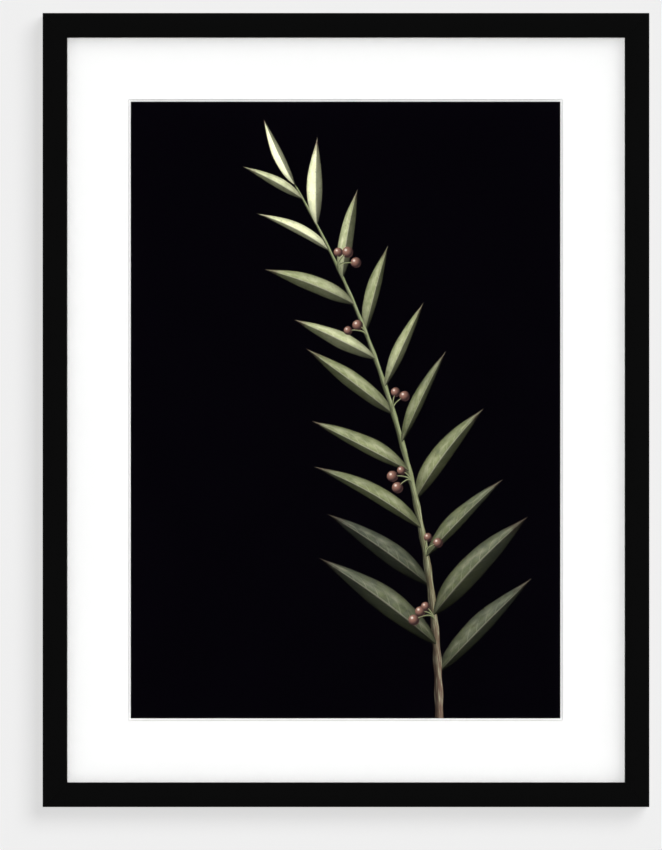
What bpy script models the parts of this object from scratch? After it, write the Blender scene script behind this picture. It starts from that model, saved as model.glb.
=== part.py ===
"""A framed print that hangs on a wall.

A black mitred moulding holds, from front to back, a glazing sheet, a window mat with a bevelled
opening, the print on two paper hinges, a mount board and a backing board, which steel tabs keep in
place. A sawtooth hanger is screwed to the top rail and two bumpers keep the foot off the wall.

Metres, +Z up. The picture faces -Y and the wall is the plane Y = 0. The origin is the hanging point,
on the wall's plane: the middle of a nail's shank under the centre notch of the hanger.
"""

import math

import bmesh
import bpy
from mathutils import Matrix, Vector

MM = 0.001

# Driving dimensions.
PRINT_WIDTH = 350.0 * MM  # of the print, as seen in the mat's window
PRINT_HEIGHT = 502.5 * MM
MAT_BORDER = 50.0 * MM  # from the window's bevel to the moulding
MAT_BEVEL = 2.0 * MM  # seen width of the 45 degree cut, and so the mat's thickness
RAIL_WIDTH = 20.0 * MM
RAIL_DEPTH = 22.0 * MM
LIP_THICKNESS = 6.0 * MM  # of the moulding in front of the glazing
REBATE_WIDTH = 7.0 * MM  # how far the lip reaches over the glazing
GAP = 0.3 * MM  # between pieces that lie face to face

# The sheets behind the lip.
GLAZING_THICKNESS = 2.0 * MM
PRINT_THICKNESS = 0.3 * MM
HINGE_THICKNESS = 0.2 * MM
MOUNT_THICKNESS = 1.4 * MM
BACKING_THICKNESS = 3.0 * MM
SHEET_CLEARANCE = 1.0 * MM  # from a sheet's edge to the rebate's wall
PRINT_OVERLAP = 5.0 * MM  # of the print behind the mat, on each side
HINGE_WIDTH = 22.0 * MM
HINGE_HEIGHT = 30.0 * MM
HINGE_SPACING = 220.0 * MM

# The moulding's edges and joints.
ARRIS_RADIUS = 0.8 * MM
REAR_CHAMFER = 0.5 * MM
ARC_STEPS = 4
V_NAIL_LEG = 4.0 * MM
V_NAIL_STEEL = 0.6 * MM
V_NAIL_DEPTH = 10.0 * MM
V_NAIL_SUNK = 0.4 * MM
V_NAIL_INSETS = {"outer": 2.4 * MM, "inner": 7.4 * MM}  # from the frame's sides to the V's point

# The tabs that hold the backing board.
TAB_STEEL = 0.6 * MM
TAB_WIDTH = 8.0 * MM
TAB_DRIVEN = 8.0 * MM  # length inside the wood, point included
TAB_POINT = 3.0 * MM
TAB_REACH = 15.0 * MM  # length over the backing
TAB_CORNER = 2.0 * MM
TAB_SPACING = 160.0 * MM

# The hanger and its screws.
PLATE_LENGTH = 60.0 * MM
PLATE_HEIGHT = 11.0 * MM
PLATE_STEEL = 0.8 * MM
PLATE_INSET = 1.3 * MM  # from the top of the frame
NAIL_RADIUS = 1.25 * MM
TOOTH_COUNT = 9
TOOTH_PITCH = 3.8 * MM
TOOTH_DEPTH = 1.6 * MM
BEND_RUN = 3.0 * MM  # length of each slope between the raised middle and a flat end
PLATE_TO_WALL = 0.2 * MM
SCREW_X = 24.0 * MM
SCREW_LENGTH = 10.0 * MM
SCREW_RADIUS = 1.4 * MM
SCREW_TIP = 2.5 * MM
SCREW_HEAD_RADIUS = 2.8 * MM
SCREW_HEAD_HEIGHT = 1.5 * MM
SCREW_HEAD_RIM = 0.4 * MM  # height of the head's straight side, under its crown
RECESS_SPAN = 2.8 * MM
RECESS_WIDTH = 0.7 * MM
RECESS_DEPTH = 0.8 * MM

# The bumpers at the foot.
BUMPER_RADIUS = 5.0 * MM
BUMPER_STANDOFF = 3.0 * MM  # of the moulding from the wall
BUMPER_CROWN = 1.6 * MM  # radius of the rounded rim
BUMPER_FROM_SIDE = 25.0 * MM

TURN_STEPS = 32
HOLE_STEPS = 16

# The frame's outline, and the height of its parts from the hanging point.
WINDOW_WIDTH = PRINT_WIDTH + 2 * MAT_BEVEL
WINDOW_HEIGHT = PRINT_HEIGHT + 2 * MAT_BEVEL
SIGHT_WIDTH = WINDOW_WIDTH + 2 * MAT_BORDER
SIGHT_HEIGHT = WINDOW_HEIGHT + 2 * MAT_BORDER
FRAME_WIDTH = SIGHT_WIDTH + 2 * RAIL_WIDTH
FRAME_HEIGHT = SIGHT_HEIGHT + 2 * RAIL_WIDTH
SHEET_WIDTH = SIGHT_WIDTH + 2 * (REBATE_WIDTH - SHEET_CLEARANCE)
SHEET_HEIGHT = SIGHT_HEIGHT + 2 * (REBATE_WIDTH - SHEET_CLEARANCE)
REBATE_WALL = RAIL_WIDTH - REBATE_WIDTH  # the wood outside the rebate

NOTCH_ANGLE = math.atan2(TOOTH_PITCH / 2, TOOTH_DEPTH)  # half the angle of a notch
NOTCH_TOP = NAIL_RADIUS / math.sin(NOTCH_ANGLE)
PLATE_BOTTOM = NOTCH_TOP - TOOTH_DEPTH
PLATE_TOP = PLATE_BOTTOM + PLATE_HEIGHT
FRAME_TOP = PLATE_TOP + PLATE_INSET
CENTRE_Z = FRAME_TOP - FRAME_HEIGHT / 2

# Depths, from the wall forwards. Each sheet is named by its front face.
REAR_Y = -BUMPER_STANDOFF
FRONT_Y = REAR_Y - RAIL_DEPTH
GLAZING_Y = FRONT_Y + LIP_THICKNESS + GAP
MAT_Y = GLAZING_Y + GLAZING_THICKNESS + GAP
PRINT_Y = MAT_Y + MAT_BEVEL + GAP
HINGE_Y = PRINT_Y + PRINT_THICKNESS + GAP
MOUNT_Y = HINGE_Y + HINGE_THICKNESS + GAP
BACKING_Y = MOUNT_Y + MOUNT_THICKNESS + GAP
TAB_Y = BACKING_Y + BACKING_THICKNESS + GAP
PLATE_Y = REAR_Y + GAP
SCREW_HEAD_Y = PLATE_Y + PLATE_STEEL + GAP
PLATE_RAISE = BUMPER_STANDOFF - GAP - PLATE_STEEL - PLATE_TO_WALL

BLACK_LACQUER = ("black_lacquer", (0.012, 0.012, 0.012), 0.38, 0.0)
CLEAR_GLASS = ("clear_glass", (0.95, 0.97, 0.96), 0.02, 0.0)
WHITE_MAT = ("white_mat_board", (0.92, 0.92, 0.91), 0.9, 0.0)
PRINT_PAPER = ("print_paper", (0.01, 0.01, 0.012), 0.35, 0.0)
LINEN_TAPE = ("linen_tape", (0.88, 0.87, 0.83), 0.9, 0.0)
MOUNT_BOARD = ("mount_board", (0.86, 0.85, 0.81), 0.9, 0.0)
FIBRE_BOARD = ("fibre_board", (0.36, 0.25, 0.16), 0.8, 0.0)
BRIGHT_STEEL = ("bright_steel", (0.62, 0.62, 0.64), 0.35, 1.0)
BLACK_STEEL = ("blackened_steel", (0.05, 0.05, 0.055), 0.45, 0.8)
GREY_RUBBER = ("grey_rubber", (0.22, 0.22, 0.22), 0.7, 0.0)

# A flat outline's X and Y become the frame's X and Z, and its thickness runs along Y.
UPRIGHT = Matrix.Rotation(math.pi / 2, 4, "X")
# A rail's section, drawn as inset and depth, is swept along X with its outer side up.
SECTION_TO_RAIL = Matrix(((0, 0, 1, 0), (0, 1, 0, 0), (-1, 0, 0, 0), (0, 0, 0, 1)))


def clear_scene():
    for obj in list(bpy.data.objects):
        bpy.data.objects.remove(obj, do_unlink=True)


def new_collection(name):
    collection = bpy.data.collections.new(name)
    bpy.context.scene.collection.children.link(collection)
    return collection


def material_of(recipe):
    """The material of a recipe, made on its first use."""
    name, colour, roughness, metallic = recipe
    material = bpy.data.materials.get(name)
    if material is None:
        material = bpy.data.materials.new(name)
        material.use_nodes = True
        shader = material.node_tree.nodes["Principled BSDF"]
        shader.inputs["Base Color"].default_value = (*colour, 1.0)
        shader.inputs["Roughness"].default_value = roughness
        shader.inputs["Metallic"].default_value = metallic
    return material


def mesh_object(name, mesh, collection, recipe=None):
    """An object of this mesh, in this collection and of this material."""
    obj = bpy.data.objects.new(name, mesh)
    collection.objects.link(obj)
    if recipe is not None:
        mesh.materials.clear()
        mesh.materials.append(material_of(recipe))
    return obj


def as_cutter(obj):
    obj.display_type = "WIRE"
    obj.hide_render = True
    return obj


def prism_mesh(name, outlines, thickness):
    """A closed mesh of flat outlines in XY, the first one outside and any others holes in it,
    from Z = -thickness / 2 to Z = thickness / 2."""
    curve = bpy.data.curves.new(name + "_outline", "CURVE")
    curve.dimensions = "2D"
    curve.fill_mode = "BOTH"
    curve.extrude = thickness / 2
    for points in outlines:
        spline = curve.splines.new("POLY")
        spline.points.add(len(points) - 1)
        for point, (x, y) in zip(spline.points, points):
            point.co = (x, y, 0.0, 1.0)
        spline.use_cyclic_u = True
    drawn = bpy.data.objects.new(name + "_drawn", curve)
    bpy.context.scene.collection.objects.link(drawn)
    graph = bpy.context.evaluated_depsgraph_get()
    mesh = bpy.data.meshes.new_from_object(drawn.evaluated_get(graph))
    mesh.name = name
    bpy.data.objects.remove(drawn, do_unlink=True)
    form = bmesh.new()
    form.from_mesh(mesh)
    bmesh.ops.remove_doubles(form, verts=form.verts, dist=1e-6)
    bmesh.ops.recalc_face_normals(form, faces=form.faces)
    form.to_mesh(mesh)
    form.free()
    return mesh


def plate_mesh(name, outlines, thickness):
    """A flat plate with its outline in X and Z, its front face at Y = 0 and its rear behind it."""
    mesh = prism_mesh(name, outlines, thickness)
    mesh.transform(Matrix.Translation((0, thickness / 2, 0)) @ UPRIGHT)
    return mesh


def block_mesh(name, size):
    """A box round the origin."""
    mesh = bpy.data.meshes.new(name)
    form = bmesh.new()
    bmesh.ops.create_cube(form, size=1.0)
    bmesh.ops.scale(form, vec=size, verts=form.verts)
    form.to_mesh(mesh)
    form.free()
    return mesh


def turned_object(name, profile, collection, recipe):
    """A solid turned about local Z. The profile is pairs of radius and height, top to bottom,
    and starts and ends on the axis."""
    mesh = bpy.data.meshes.new(name)
    mesh.from_pydata(
        [(radius, 0.0, height) for radius, height in profile],
        [(i, i + 1) for i in range(len(profile) - 1)],
        [],
    )
    obj = mesh_object(name, mesh, collection, recipe)
    screw = obj.modifiers.new("turn", "SCREW")
    screw.axis = "Z"
    screw.steps = TURN_STEPS
    screw.render_steps = TURN_STEPS
    screw.use_merge_vertices = True
    screw.merge_threshold = 1e-6
    screw.use_smooth_shade = True
    return obj


def cut(obj, cutters):
    """Takes every object of the cutters' collection out of obj."""
    boolean = obj.modifiers.new("cut", "BOOLEAN")
    boolean.operation = "DIFFERENCE"
    boolean.operand_type = "COLLECTION"
    boolean.collection = cutters
    boolean.solver = "EXACT"


def rectangle(width, height):
    """The corners of a rectangle round the origin."""
    x, y = width / 2, height / 2
    return [(-x, -y), (x, -y), (x, y), (-x, y)]


def arc(centre, radius, start, end, steps=ARC_STEPS):
    """Points on a circle from the start angle to the end angle, in degrees."""
    turns = [math.radians(start + (end - start) * i / steps) for i in range(steps + 1)]
    return [(centre[0] + radius * math.cos(t), centre[1] + radius * math.sin(t)) for t in turns]


def circle(centre, radius, steps):
    """Points on a whole circle."""
    return arc(centre, radius, 0, 360, steps)[:-1]


def rail_section():
    """The moulding's section as inset from its outer side and depth, with the rear face at 0."""
    front = -RAIL_DEPTH
    outer_arc = arc((ARRIS_RADIUS, front + ARRIS_RADIUS), ARRIS_RADIUS, 180, 270)
    sight_arc = arc((RAIL_WIDTH - ARRIS_RADIUS, front + ARRIS_RADIUS), ARRIS_RADIUS, 270, 360)
    return [
        (REAR_CHAMFER, 0.0),
        (0.0, -REAR_CHAMFER),
        *outer_arc,
        *sight_arc,
        (RAIL_WIDTH, front + LIP_THICKNESS),
        (REBATE_WALL, front + LIP_THICKNESS),
        (REBATE_WALL, 0.0),
    ]


def rail_mesh(name, length):
    """A rail along X with its outer side on Z = 0. Each end vertex moves in by its own inset, which
    makes the 45 degree mitre, and by what leaves a gap between two rails."""
    mesh = prism_mesh(name, [rail_section()], length)
    mesh.transform(SECTION_TO_RAIL)
    setback = GAP / 2 * math.sqrt(2)
    for vertex in mesh.vertices:
        inset = -vertex.co.z
        vertex.co.x = math.copysign(length / 2 - inset - setback, vertex.co.x)
    return mesh


def make_rails(parts, centre, cutters):
    """Four mitred rails, turned about the frame's middle, with the cuts for what is driven in."""
    turned = {"top": 0, "right": 90, "bottom": 180, "left": 270}
    for side, angle in turned.items():
        level = side in ("top", "bottom")
        length, reach = (FRAME_WIDTH, FRAME_HEIGHT / 2) if level else (FRAME_HEIGHT, FRAME_WIDTH / 2)
        rail = mesh_object(f"rail_{side}", rail_mesh(f"rail_{side}", length), parts, BLACK_LACQUER)
        turn = Matrix.Rotation(math.radians(angle), 4, "Y")
        rail.parent = centre
        rail.matrix_basis = turn @ Matrix.Translation((0, REAR_Y, reach))
        cut(rail, cutters)


def v_nail_outline(allowance):
    """Two legs along -X and -Y from a point at the origin, grown by an allowance all round."""
    far, thick, grown = -V_NAIL_LEG - allowance, -V_NAIL_STEEL - allowance, allowance
    return [
        (grown, grown),
        (far, grown),
        (far, thick),
        (thick, thick),
        (thick, far),
        (grown, far),
    ]


def make_v_nails(parts, centre, cutters):
    """Two V nails across each mitre, driven in from the rear, each in a pocket of its own shape."""
    depth = V_NAIL_DEPTH + V_NAIL_SUNK
    nail_mesh = plate_mesh("v_nail", [v_nail_outline(0.0)], V_NAIL_DEPTH)
    pocket_mesh = plate_mesh("v_nail_pocket", [v_nail_outline(GAP)], depth + 2 * GAP)
    corners = {
        "top_right": (1, 1, 0),
        "top_left": (-1, 1, -90),
        "bottom_left": (-1, -1, 180),
        "bottom_right": (1, -1, 90),
    }
    for corner, (side, level, angle) in corners.items():
        turn = Matrix.Rotation(math.radians(angle), 4, "Y")
        for place, inset in V_NAIL_INSETS.items():
            x = side * (FRAME_WIDTH / 2 - inset)
            z = level * (FRAME_HEIGHT / 2 - inset)
            nail = mesh_object(f"v_nail_{corner}_{place}", nail_mesh, parts, BRIGHT_STEEL)
            nail.parent = centre
            nail.matrix_basis = Matrix.Translation((x, REAR_Y - depth, z)) @ turn
            pocket = as_cutter(mesh_object(f"pocket_{corner}_{place}", pocket_mesh, cutters))
            pocket.parent = centre
            pocket.matrix_basis = Matrix.Translation((x, REAR_Y - depth - GAP, z)) @ turn


def spaced(length, spacing):
    """Evenly spaced places along a side, about spacing apart and half that from its ends."""
    count = max(2, round(length / spacing))
    return [length * ((i + 0.5) / count - 0.5) for i in range(count)]


def tab_outline():
    """A tab along +Y from the rebate's wall, with its point in the wood below."""
    half = TAB_WIDTH / 2
    shoulder = TAB_POINT - TAB_DRIVEN
    return [
        (0.0, -TAB_DRIVEN),
        (half, shoulder),
        *arc((half - TAB_CORNER, TAB_REACH - TAB_CORNER), TAB_CORNER, 0, 90),
        *arc((TAB_CORNER - half, TAB_REACH - TAB_CORNER), TAB_CORNER, 90, 180),
        (-half, shoulder),
    ]


def make_tabs(parts, centre, cutters):
    """Steel tabs driven into the rebate's wall on all four sides, just behind the backing board."""
    tab_mesh = plate_mesh("tab", [tab_outline()], TAB_STEEL)
    slot_size = (TAB_WIDTH + 2 * GAP, TAB_STEEL + 2 * GAP, TAB_DRIVEN + GAP + SHEET_CLEARANCE)
    slot_mesh = block_mesh("tab_slot", slot_size)
    slot_z = (SHEET_CLEARANCE - TAB_DRIVEN - GAP) / 2
    sides = {"bottom": 0, "left": 90, "top": 180, "right": 270}
    for side, angle in sides.items():
        level = side in ("top", "bottom")
        run, reach = (FRAME_WIDTH, FRAME_HEIGHT / 2) if level else (FRAME_HEIGHT, FRAME_WIDTH / 2)
        turn = Matrix.Rotation(math.radians(angle), 4, "Y")
        for number, along in enumerate(spaced(run - 2 * REBATE_WALL, TAB_SPACING), 1):
            wall = turn @ Matrix.Translation((along, 0, REBATE_WALL - reach))
            tab = mesh_object(f"tab_{side}_{number}", tab_mesh, parts, BLACK_STEEL)
            tab.parent = centre
            tab.matrix_basis = wall @ Matrix.Translation((0, TAB_Y, 0))
            slot = as_cutter(mesh_object(f"slot_{side}_{number}", slot_mesh, cutters))
            slot.parent = centre
            slot.matrix_basis = wall @ Matrix.Translation((0, TAB_Y + TAB_STEEL / 2, slot_z))


def mat_mesh():
    """The window mat: its opening's front edge is cut back by the bevel on every side."""
    mesh = plate_mesh(
        "window_mat",
        [rectangle(SHEET_WIDTH, SHEET_HEIGHT), rectangle(PRINT_WIDTH, PRINT_HEIGHT)],
        MAT_BEVEL,
    )
    for vertex in mesh.vertices:
        at_opening = abs(vertex.co.x) < WINDOW_WIDTH / 2 and abs(vertex.co.z) < WINDOW_HEIGHT / 2
        if at_opening and vertex.co.y < MAT_BEVEL / 2:
            vertex.co.x += math.copysign(MAT_BEVEL, vertex.co.x)
            vertex.co.z += math.copysign(MAT_BEVEL, vertex.co.z)
    return mesh


def make_sheets(parts, centre):
    """What lies in the rebate, from the glazing back to the backing board."""
    mat = mesh_object("window_mat", mat_mesh(), parts, WHITE_MAT)
    mat.parent = centre
    mat.location = (0, MAT_Y, 0)
    whole = (SHEET_WIDTH, SHEET_HEIGHT)
    printed = (PRINT_WIDTH + 2 * PRINT_OVERLAP, PRINT_HEIGHT + 2 * PRINT_OVERLAP)
    sheets = {
        "glazing": (whole, GLAZING_THICKNESS, GLAZING_Y, CLEAR_GLASS),
        "art_print": (printed, PRINT_THICKNESS, PRINT_Y, PRINT_PAPER),
        "mount_board": (whole, MOUNT_THICKNESS, MOUNT_Y, MOUNT_BOARD),
        "backing_board": (whole, BACKING_THICKNESS, BACKING_Y, FIBRE_BOARD),
    }
    for name, ((width, height), thickness, front, recipe) in sheets.items():
        mesh = block_mesh(name, (width, thickness, height))
        sheet = mesh_object(name, mesh, parts, recipe)
        sheet.parent = centre
        sheet.location = (0, front + thickness / 2, 0)


def make_print_hinges(parts, centre):
    """Two tapes between the print's top edge and the mount board, half of each behind the print."""
    mesh = block_mesh("print_hinge", (HINGE_WIDTH, HINGE_THICKNESS, HINGE_HEIGHT))
    top_edge = PRINT_HEIGHT / 2 + PRINT_OVERLAP
    for side, x in {"left": -HINGE_SPACING / 2, "right": HINGE_SPACING / 2}.items():
        hinge = mesh_object(f"print_hinge_{side}", mesh, parts, LINEN_TAPE)
        hinge.parent = centre
        hinge.location = (x, HINGE_Y + HINGE_THICKNESS / 2, top_edge)


def plate_outline():
    """The hanger's outline: two round ends, a straight top, and teeth along the middle's foot."""
    radius = PLATE_HEIGHT / 2
    middle = PLATE_BOTTOM + radius
    end = PLATE_LENGTH / 2 - radius
    toothed = TOOTH_COUNT * TOOTH_PITCH / 2
    foot = []
    for i in range(TOOTH_COUNT):
        left = i * TOOTH_PITCH - toothed
        foot += [(left, PLATE_BOTTOM), (left + TOOTH_PITCH / 2, PLATE_BOTTOM + TOOTH_DEPTH)]
    foot.append((toothed, PLATE_BOTTOM))
    return [
        *arc((-end, middle), radius, 90, 270, 3 * ARC_STEPS),
        *foot,
        *arc((end, middle), radius, 270, 450, 3 * ARC_STEPS),
    ]


def make_hanger(parts):
    """The sawtooth plate. Its ends lie on the rail and its middle stands off it, so that a nail's
    head goes behind the teeth."""
    hole_radius = SCREW_RADIUS + GAP
    hole_z = PLATE_BOTTOM + PLATE_HEIGHT / 2
    holes = [circle((x, hole_z), hole_radius, HOLE_STEPS) for x in (-SCREW_X, SCREW_X)]
    mesh = plate_mesh("hanger_plate", [plate_outline(), *holes], PLATE_STEEL)
    raised = TOOTH_COUNT * TOOTH_PITCH / 2 + GAP
    form = bmesh.new()
    form.from_mesh(mesh)
    for x in (-raised - BEND_RUN, -raised, raised, raised + BEND_RUN):
        everything = [*form.verts, *form.edges, *form.faces]
        bmesh.ops.bisect_plane(form, geom=everything, plane_co=(x, 0, 0), plane_no=(1, 0, 0))
    for vertex in form.verts:
        share = (raised + BEND_RUN - abs(vertex.co.x)) / BEND_RUN
        vertex.co.y += PLATE_RAISE * min(1.0, max(0.0, share))
    form.to_mesh(mesh)
    form.free()
    plate = mesh_object("hanger_plate", mesh, parts, BRIGHT_STEEL)
    plate.location = (0, PLATE_Y, 0)


def screw_profile():
    """A pan head on a plain shank with a point: the head's underside is at height 0."""
    crown = SCREW_HEAD_HEIGHT - SCREW_HEAD_RIM
    return [
        (0.0, SCREW_HEAD_HEIGHT),
        *arc((SCREW_HEAD_RADIUS - crown, SCREW_HEAD_RIM), crown, 90, 0),
        (SCREW_HEAD_RADIUS, 0.0),
        (SCREW_RADIUS, 0.0),
        (SCREW_RADIUS, SCREW_TIP - SCREW_LENGTH),
        (0.0, -SCREW_LENGTH),
    ]


def make_screws(parts, cutters, recess_cutters):
    """Two screws through the hanger's ends into pilot holes in the top rail, cross recessed."""
    z = PLATE_BOTTOM + PLATE_HEIGHT / 2
    head_up = Matrix.Rotation(-math.pi / 2, 4, "X")  # local Z points at the wall
    pilot_length = SCREW_LENGTH + GAP
    for side, x in {"left": -SCREW_X, "right": SCREW_X}.items():
        place = Matrix.Translation((x, SCREW_HEAD_Y, z)) @ head_up
        screw = turned_object(f"hanger_screw_{side}", screw_profile(), parts, BRIGHT_STEEL)
        screw.matrix_basis = place
        for number, size in enumerate(
            ((RECESS_SPAN, RECESS_WIDTH), (RECESS_WIDTH, RECESS_SPAN)), 1
        ):
            mesh = block_mesh("recess", (*size, 2 * RECESS_DEPTH))
            recess = as_cutter(mesh_object(f"recess_{side}_{number}", mesh, recess_cutters))
            recess.matrix_basis = place @ Matrix.Translation((0, 0, SCREW_HEAD_HEIGHT))
        cut(screw, recess_cutters)
        pilot = bpy.data.meshes.new("pilot")
        form = bmesh.new()
        bmesh.ops.create_cone(
            form,
            cap_ends=True,
            segments=HOLE_STEPS,
            radius1=SCREW_RADIUS + GAP,
            radius2=SCREW_RADIUS + GAP,
            depth=pilot_length,
        )
        form.to_mesh(pilot)
        form.free()
        hole = as_cutter(mesh_object(f"pilot_{side}", pilot, cutters))
        hole.matrix_basis = place @ Matrix.Translation((0, 0, -pilot_length / 2))


def bumper_profile():
    """A low disc with a rounded rim and a flat top, its base at height 0."""
    height = BUMPER_STANDOFF - GAP
    centre = (BUMPER_RADIUS - BUMPER_CROWN, height - BUMPER_CROWN)
    rim = arc(centre, BUMPER_CROWN, 90, 0, 2 * ARC_STEPS)
    return [(0.0, height), *rim, (BUMPER_RADIUS, 0.0), (0.0, 0.0)]


def make_bumpers(parts, centre):
    """Two bumpers on the bottom rail's rear face, which touch the wall."""
    x = FRAME_WIDTH / 2 - BUMPER_FROM_SIDE
    z = REBATE_WALL / 2 - FRAME_HEIGHT / 2
    head_up = Matrix.Rotation(-math.pi / 2, 4, "X")
    for side, along in {"left": -x, "right": x}.items():
        bumper = turned_object(f"bumper_{side}", bumper_profile(), parts, GREY_RUBBER)
        bumper.parent = centre
        bumper.matrix_basis = Matrix.Translation((along, REAR_Y + GAP, z)) @ head_up


def main():
    clear_scene()
    parts = new_collection("framed_print")
    rail_cutters = new_collection("rail_cutters")
    recess_cutters = new_collection("recess_cutters")
    centre = bpy.data.objects.new("frame_centre", None)
    parts.objects.link(centre)
    centre.location = Vector((0, 0, CENTRE_Z))
    make_rails(parts, centre, rail_cutters)
    make_v_nails(parts, centre, rail_cutters)
    make_sheets(parts, centre)
    make_print_hinges(parts, centre)
    make_tabs(parts, centre, rail_cutters)
    make_hanger(parts)
    make_screws(parts, rail_cutters, recess_cutters)
    make_bumpers(parts, centre)


main()
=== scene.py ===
"""The looks of a framed print: a finish for every surface, finer meshes for what shows, and a studio.

Metres, +Z up. The picture faces -Y and hangs on the wall's plane, Y = 0, from the origin. Every size
that the solids settle is read from them, and the rest are fields of the class that uses them.
"""

import logging
import math
from dataclasses import dataclass, field
from enum import Enum
from typing import Callable, Sequence, Union

import bmesh
import bpy
import numpy as np
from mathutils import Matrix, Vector


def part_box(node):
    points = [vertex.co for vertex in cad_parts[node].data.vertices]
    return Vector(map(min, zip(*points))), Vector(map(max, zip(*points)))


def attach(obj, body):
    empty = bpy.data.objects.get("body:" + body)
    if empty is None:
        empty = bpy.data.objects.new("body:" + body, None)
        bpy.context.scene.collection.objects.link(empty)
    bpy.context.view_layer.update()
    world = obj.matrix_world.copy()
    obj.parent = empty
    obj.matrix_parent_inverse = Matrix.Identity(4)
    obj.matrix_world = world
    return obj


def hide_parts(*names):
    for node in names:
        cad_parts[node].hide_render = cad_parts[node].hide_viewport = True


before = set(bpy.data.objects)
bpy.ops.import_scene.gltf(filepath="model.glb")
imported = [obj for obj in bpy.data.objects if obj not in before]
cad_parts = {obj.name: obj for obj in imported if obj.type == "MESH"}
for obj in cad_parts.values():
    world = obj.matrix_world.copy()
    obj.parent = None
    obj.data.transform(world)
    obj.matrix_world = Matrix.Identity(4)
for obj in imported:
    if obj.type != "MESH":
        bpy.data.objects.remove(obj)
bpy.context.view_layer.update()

MM = 0.001
ROOT = "root"

Colour = tuple[float, float, float]
Number = Union["Signal", float]
Inputs = dict[int | str, Number | Colour]

log = logging.getLogger("framed_print")


def darker(colour: Colour, share: float) -> Colour:
    """A colour with only a share of its light."""
    return tuple(share * part for part in colour)


# ---------------------------------------------------------------- places read from the solids


@dataclass(frozen=True)
class Box:
    """The corners of a solid, in metres."""

    low: Vector
    high: Vector

    @classmethod
    def of(cls, *nodes: str) -> "Box":
        """The box round the named CAD nodes.

        Args:
            nodes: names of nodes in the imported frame.

        Returns:
            The smallest box that holds them all.
        """
        corners = [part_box(node) for node in nodes]
        low = Vector([min(low[axis] for low, _ in corners) for axis in range(3)])
        high = Vector([max(high[axis] for _, high in corners) for axis in range(3)])
        return cls(low, high)

    @property
    def size(self) -> Vector:
        """Width, depth and height."""
        return self.high - self.low

    @property
    def centre(self) -> Vector:
        """The middle of the box."""
        return (self.low + self.high) / 2


class Side(Enum):
    """A side of the frame, with the angle that turns the top rail into its place."""

    TOP = 0
    RIGHT = 90
    BOTTOM = 180
    LEFT = 270

    @property
    def level(self) -> bool:
        """Whether the side lies level."""
        return self in (Side.TOP, Side.BOTTOM)

    @property
    def word(self) -> str:
        """The side's name as the nodes spell it."""
        return self.name.lower()


# ---------------------------------------------------------------- meshes


def rounded_outline(corners: Sequence[tuple[float, float, float]], steps: int = 5) -> np.ndarray:
    """A closed outline with a round at each corner.

    At a corner whose sides meet at the angle a, the arc of radius r starts and ends r / tan(a / 2)
    from the corner, and its centre lies r / sin(a / 2) from it along the bisector. A point on a
    straight side has no bisector, and stays where it is.

    Args:
        corners: each corner's two coordinates and its radius, in order.
        steps: parts of each arc.

    Returns:
        The outline's points, (n, 2), without repeating the first.
    """
    points = np.array([corner[:2] for corner in corners])
    radii = np.array([corner[2] for corner in corners])
    to_last = np.roll(points, 1, axis=0) - points
    to_next = np.roll(points, -1, axis=0) - points
    to_last /= np.linalg.norm(to_last, axis=1, keepdims=True)
    to_next /= np.linalg.norm(to_next, axis=1, keepdims=True)
    half = np.arccos(np.clip((to_last * to_next).sum(axis=1), -1.0, 1.0)) / 2
    bisector = to_last + to_next
    bisector /= np.maximum(np.linalg.norm(bisector, axis=1, keepdims=True), 1e-9)
    centres = points + bisector * (radii / np.sin(half))[:, None]
    touch = (radii / np.tan(half))[:, None]
    start = points + to_last * touch - centres
    end = points + to_next * touch - centres
    first = np.arctan2(start[:, 1], start[:, 0])
    sweep = np.arctan2(end[:, 1], end[:, 0]) - first
    sweep = (sweep + np.pi) % (2 * np.pi) - np.pi
    share = np.linspace(0.0, 1.0, steps + 1)
    angles = first[:, None] + sweep[:, None] * share[None, :]
    arcs = np.stack([np.cos(angles), np.sin(angles)], axis=2) * radii[:, None, None]
    outline = (centres[:, None, :] + arcs).reshape(-1, 2)
    moved = np.linalg.norm(outline - np.roll(outline, 1, axis=0), axis=1)
    return outline[moved > 1e-7]


def run_of(points: np.ndarray) -> np.ndarray:
    """The length run from the first point of a line to each of its points."""
    steps = np.linalg.norm(np.diff(points, axis=0), axis=1)
    return np.concatenate([[0.0], np.cumsum(steps)])


def closed(points: np.ndarray) -> np.ndarray:
    """A loop of points with its first one repeated at its end."""
    return np.concatenate([points, points[:1]])


def inward_of(loop: np.ndarray) -> np.ndarray:
    """The unit normals into a closed loop, whose last point is its first.

    At each point, the normal is the line between its two neighbours, turned a quarter towards the
    side on which the loop's area lies.

    Args:
        loop: its points, (n, 2).

    Returns:
        A normal for each point, (n, 2).
    """
    points = loop[:-1]
    heading = np.roll(points, -1, axis=0) - np.roll(points, 1, axis=0)
    heading /= np.linalg.norm(heading, axis=1, keepdims=True)
    following = np.roll(points, -1, axis=0)
    area = (points[:, 0] * following[:, 1] - points[:, 1] * following[:, 0]).sum()
    return closed(np.stack([-heading[:, 1], heading[:, 0]], axis=1) * np.sign(area))


def grid_of(*parts: np.ndarray | float) -> np.ndarray:
    """Points from their coordinates, each of which is spread over the whole grid."""
    return np.stack(np.broadcast_arrays(*parts), axis=-1)


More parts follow.
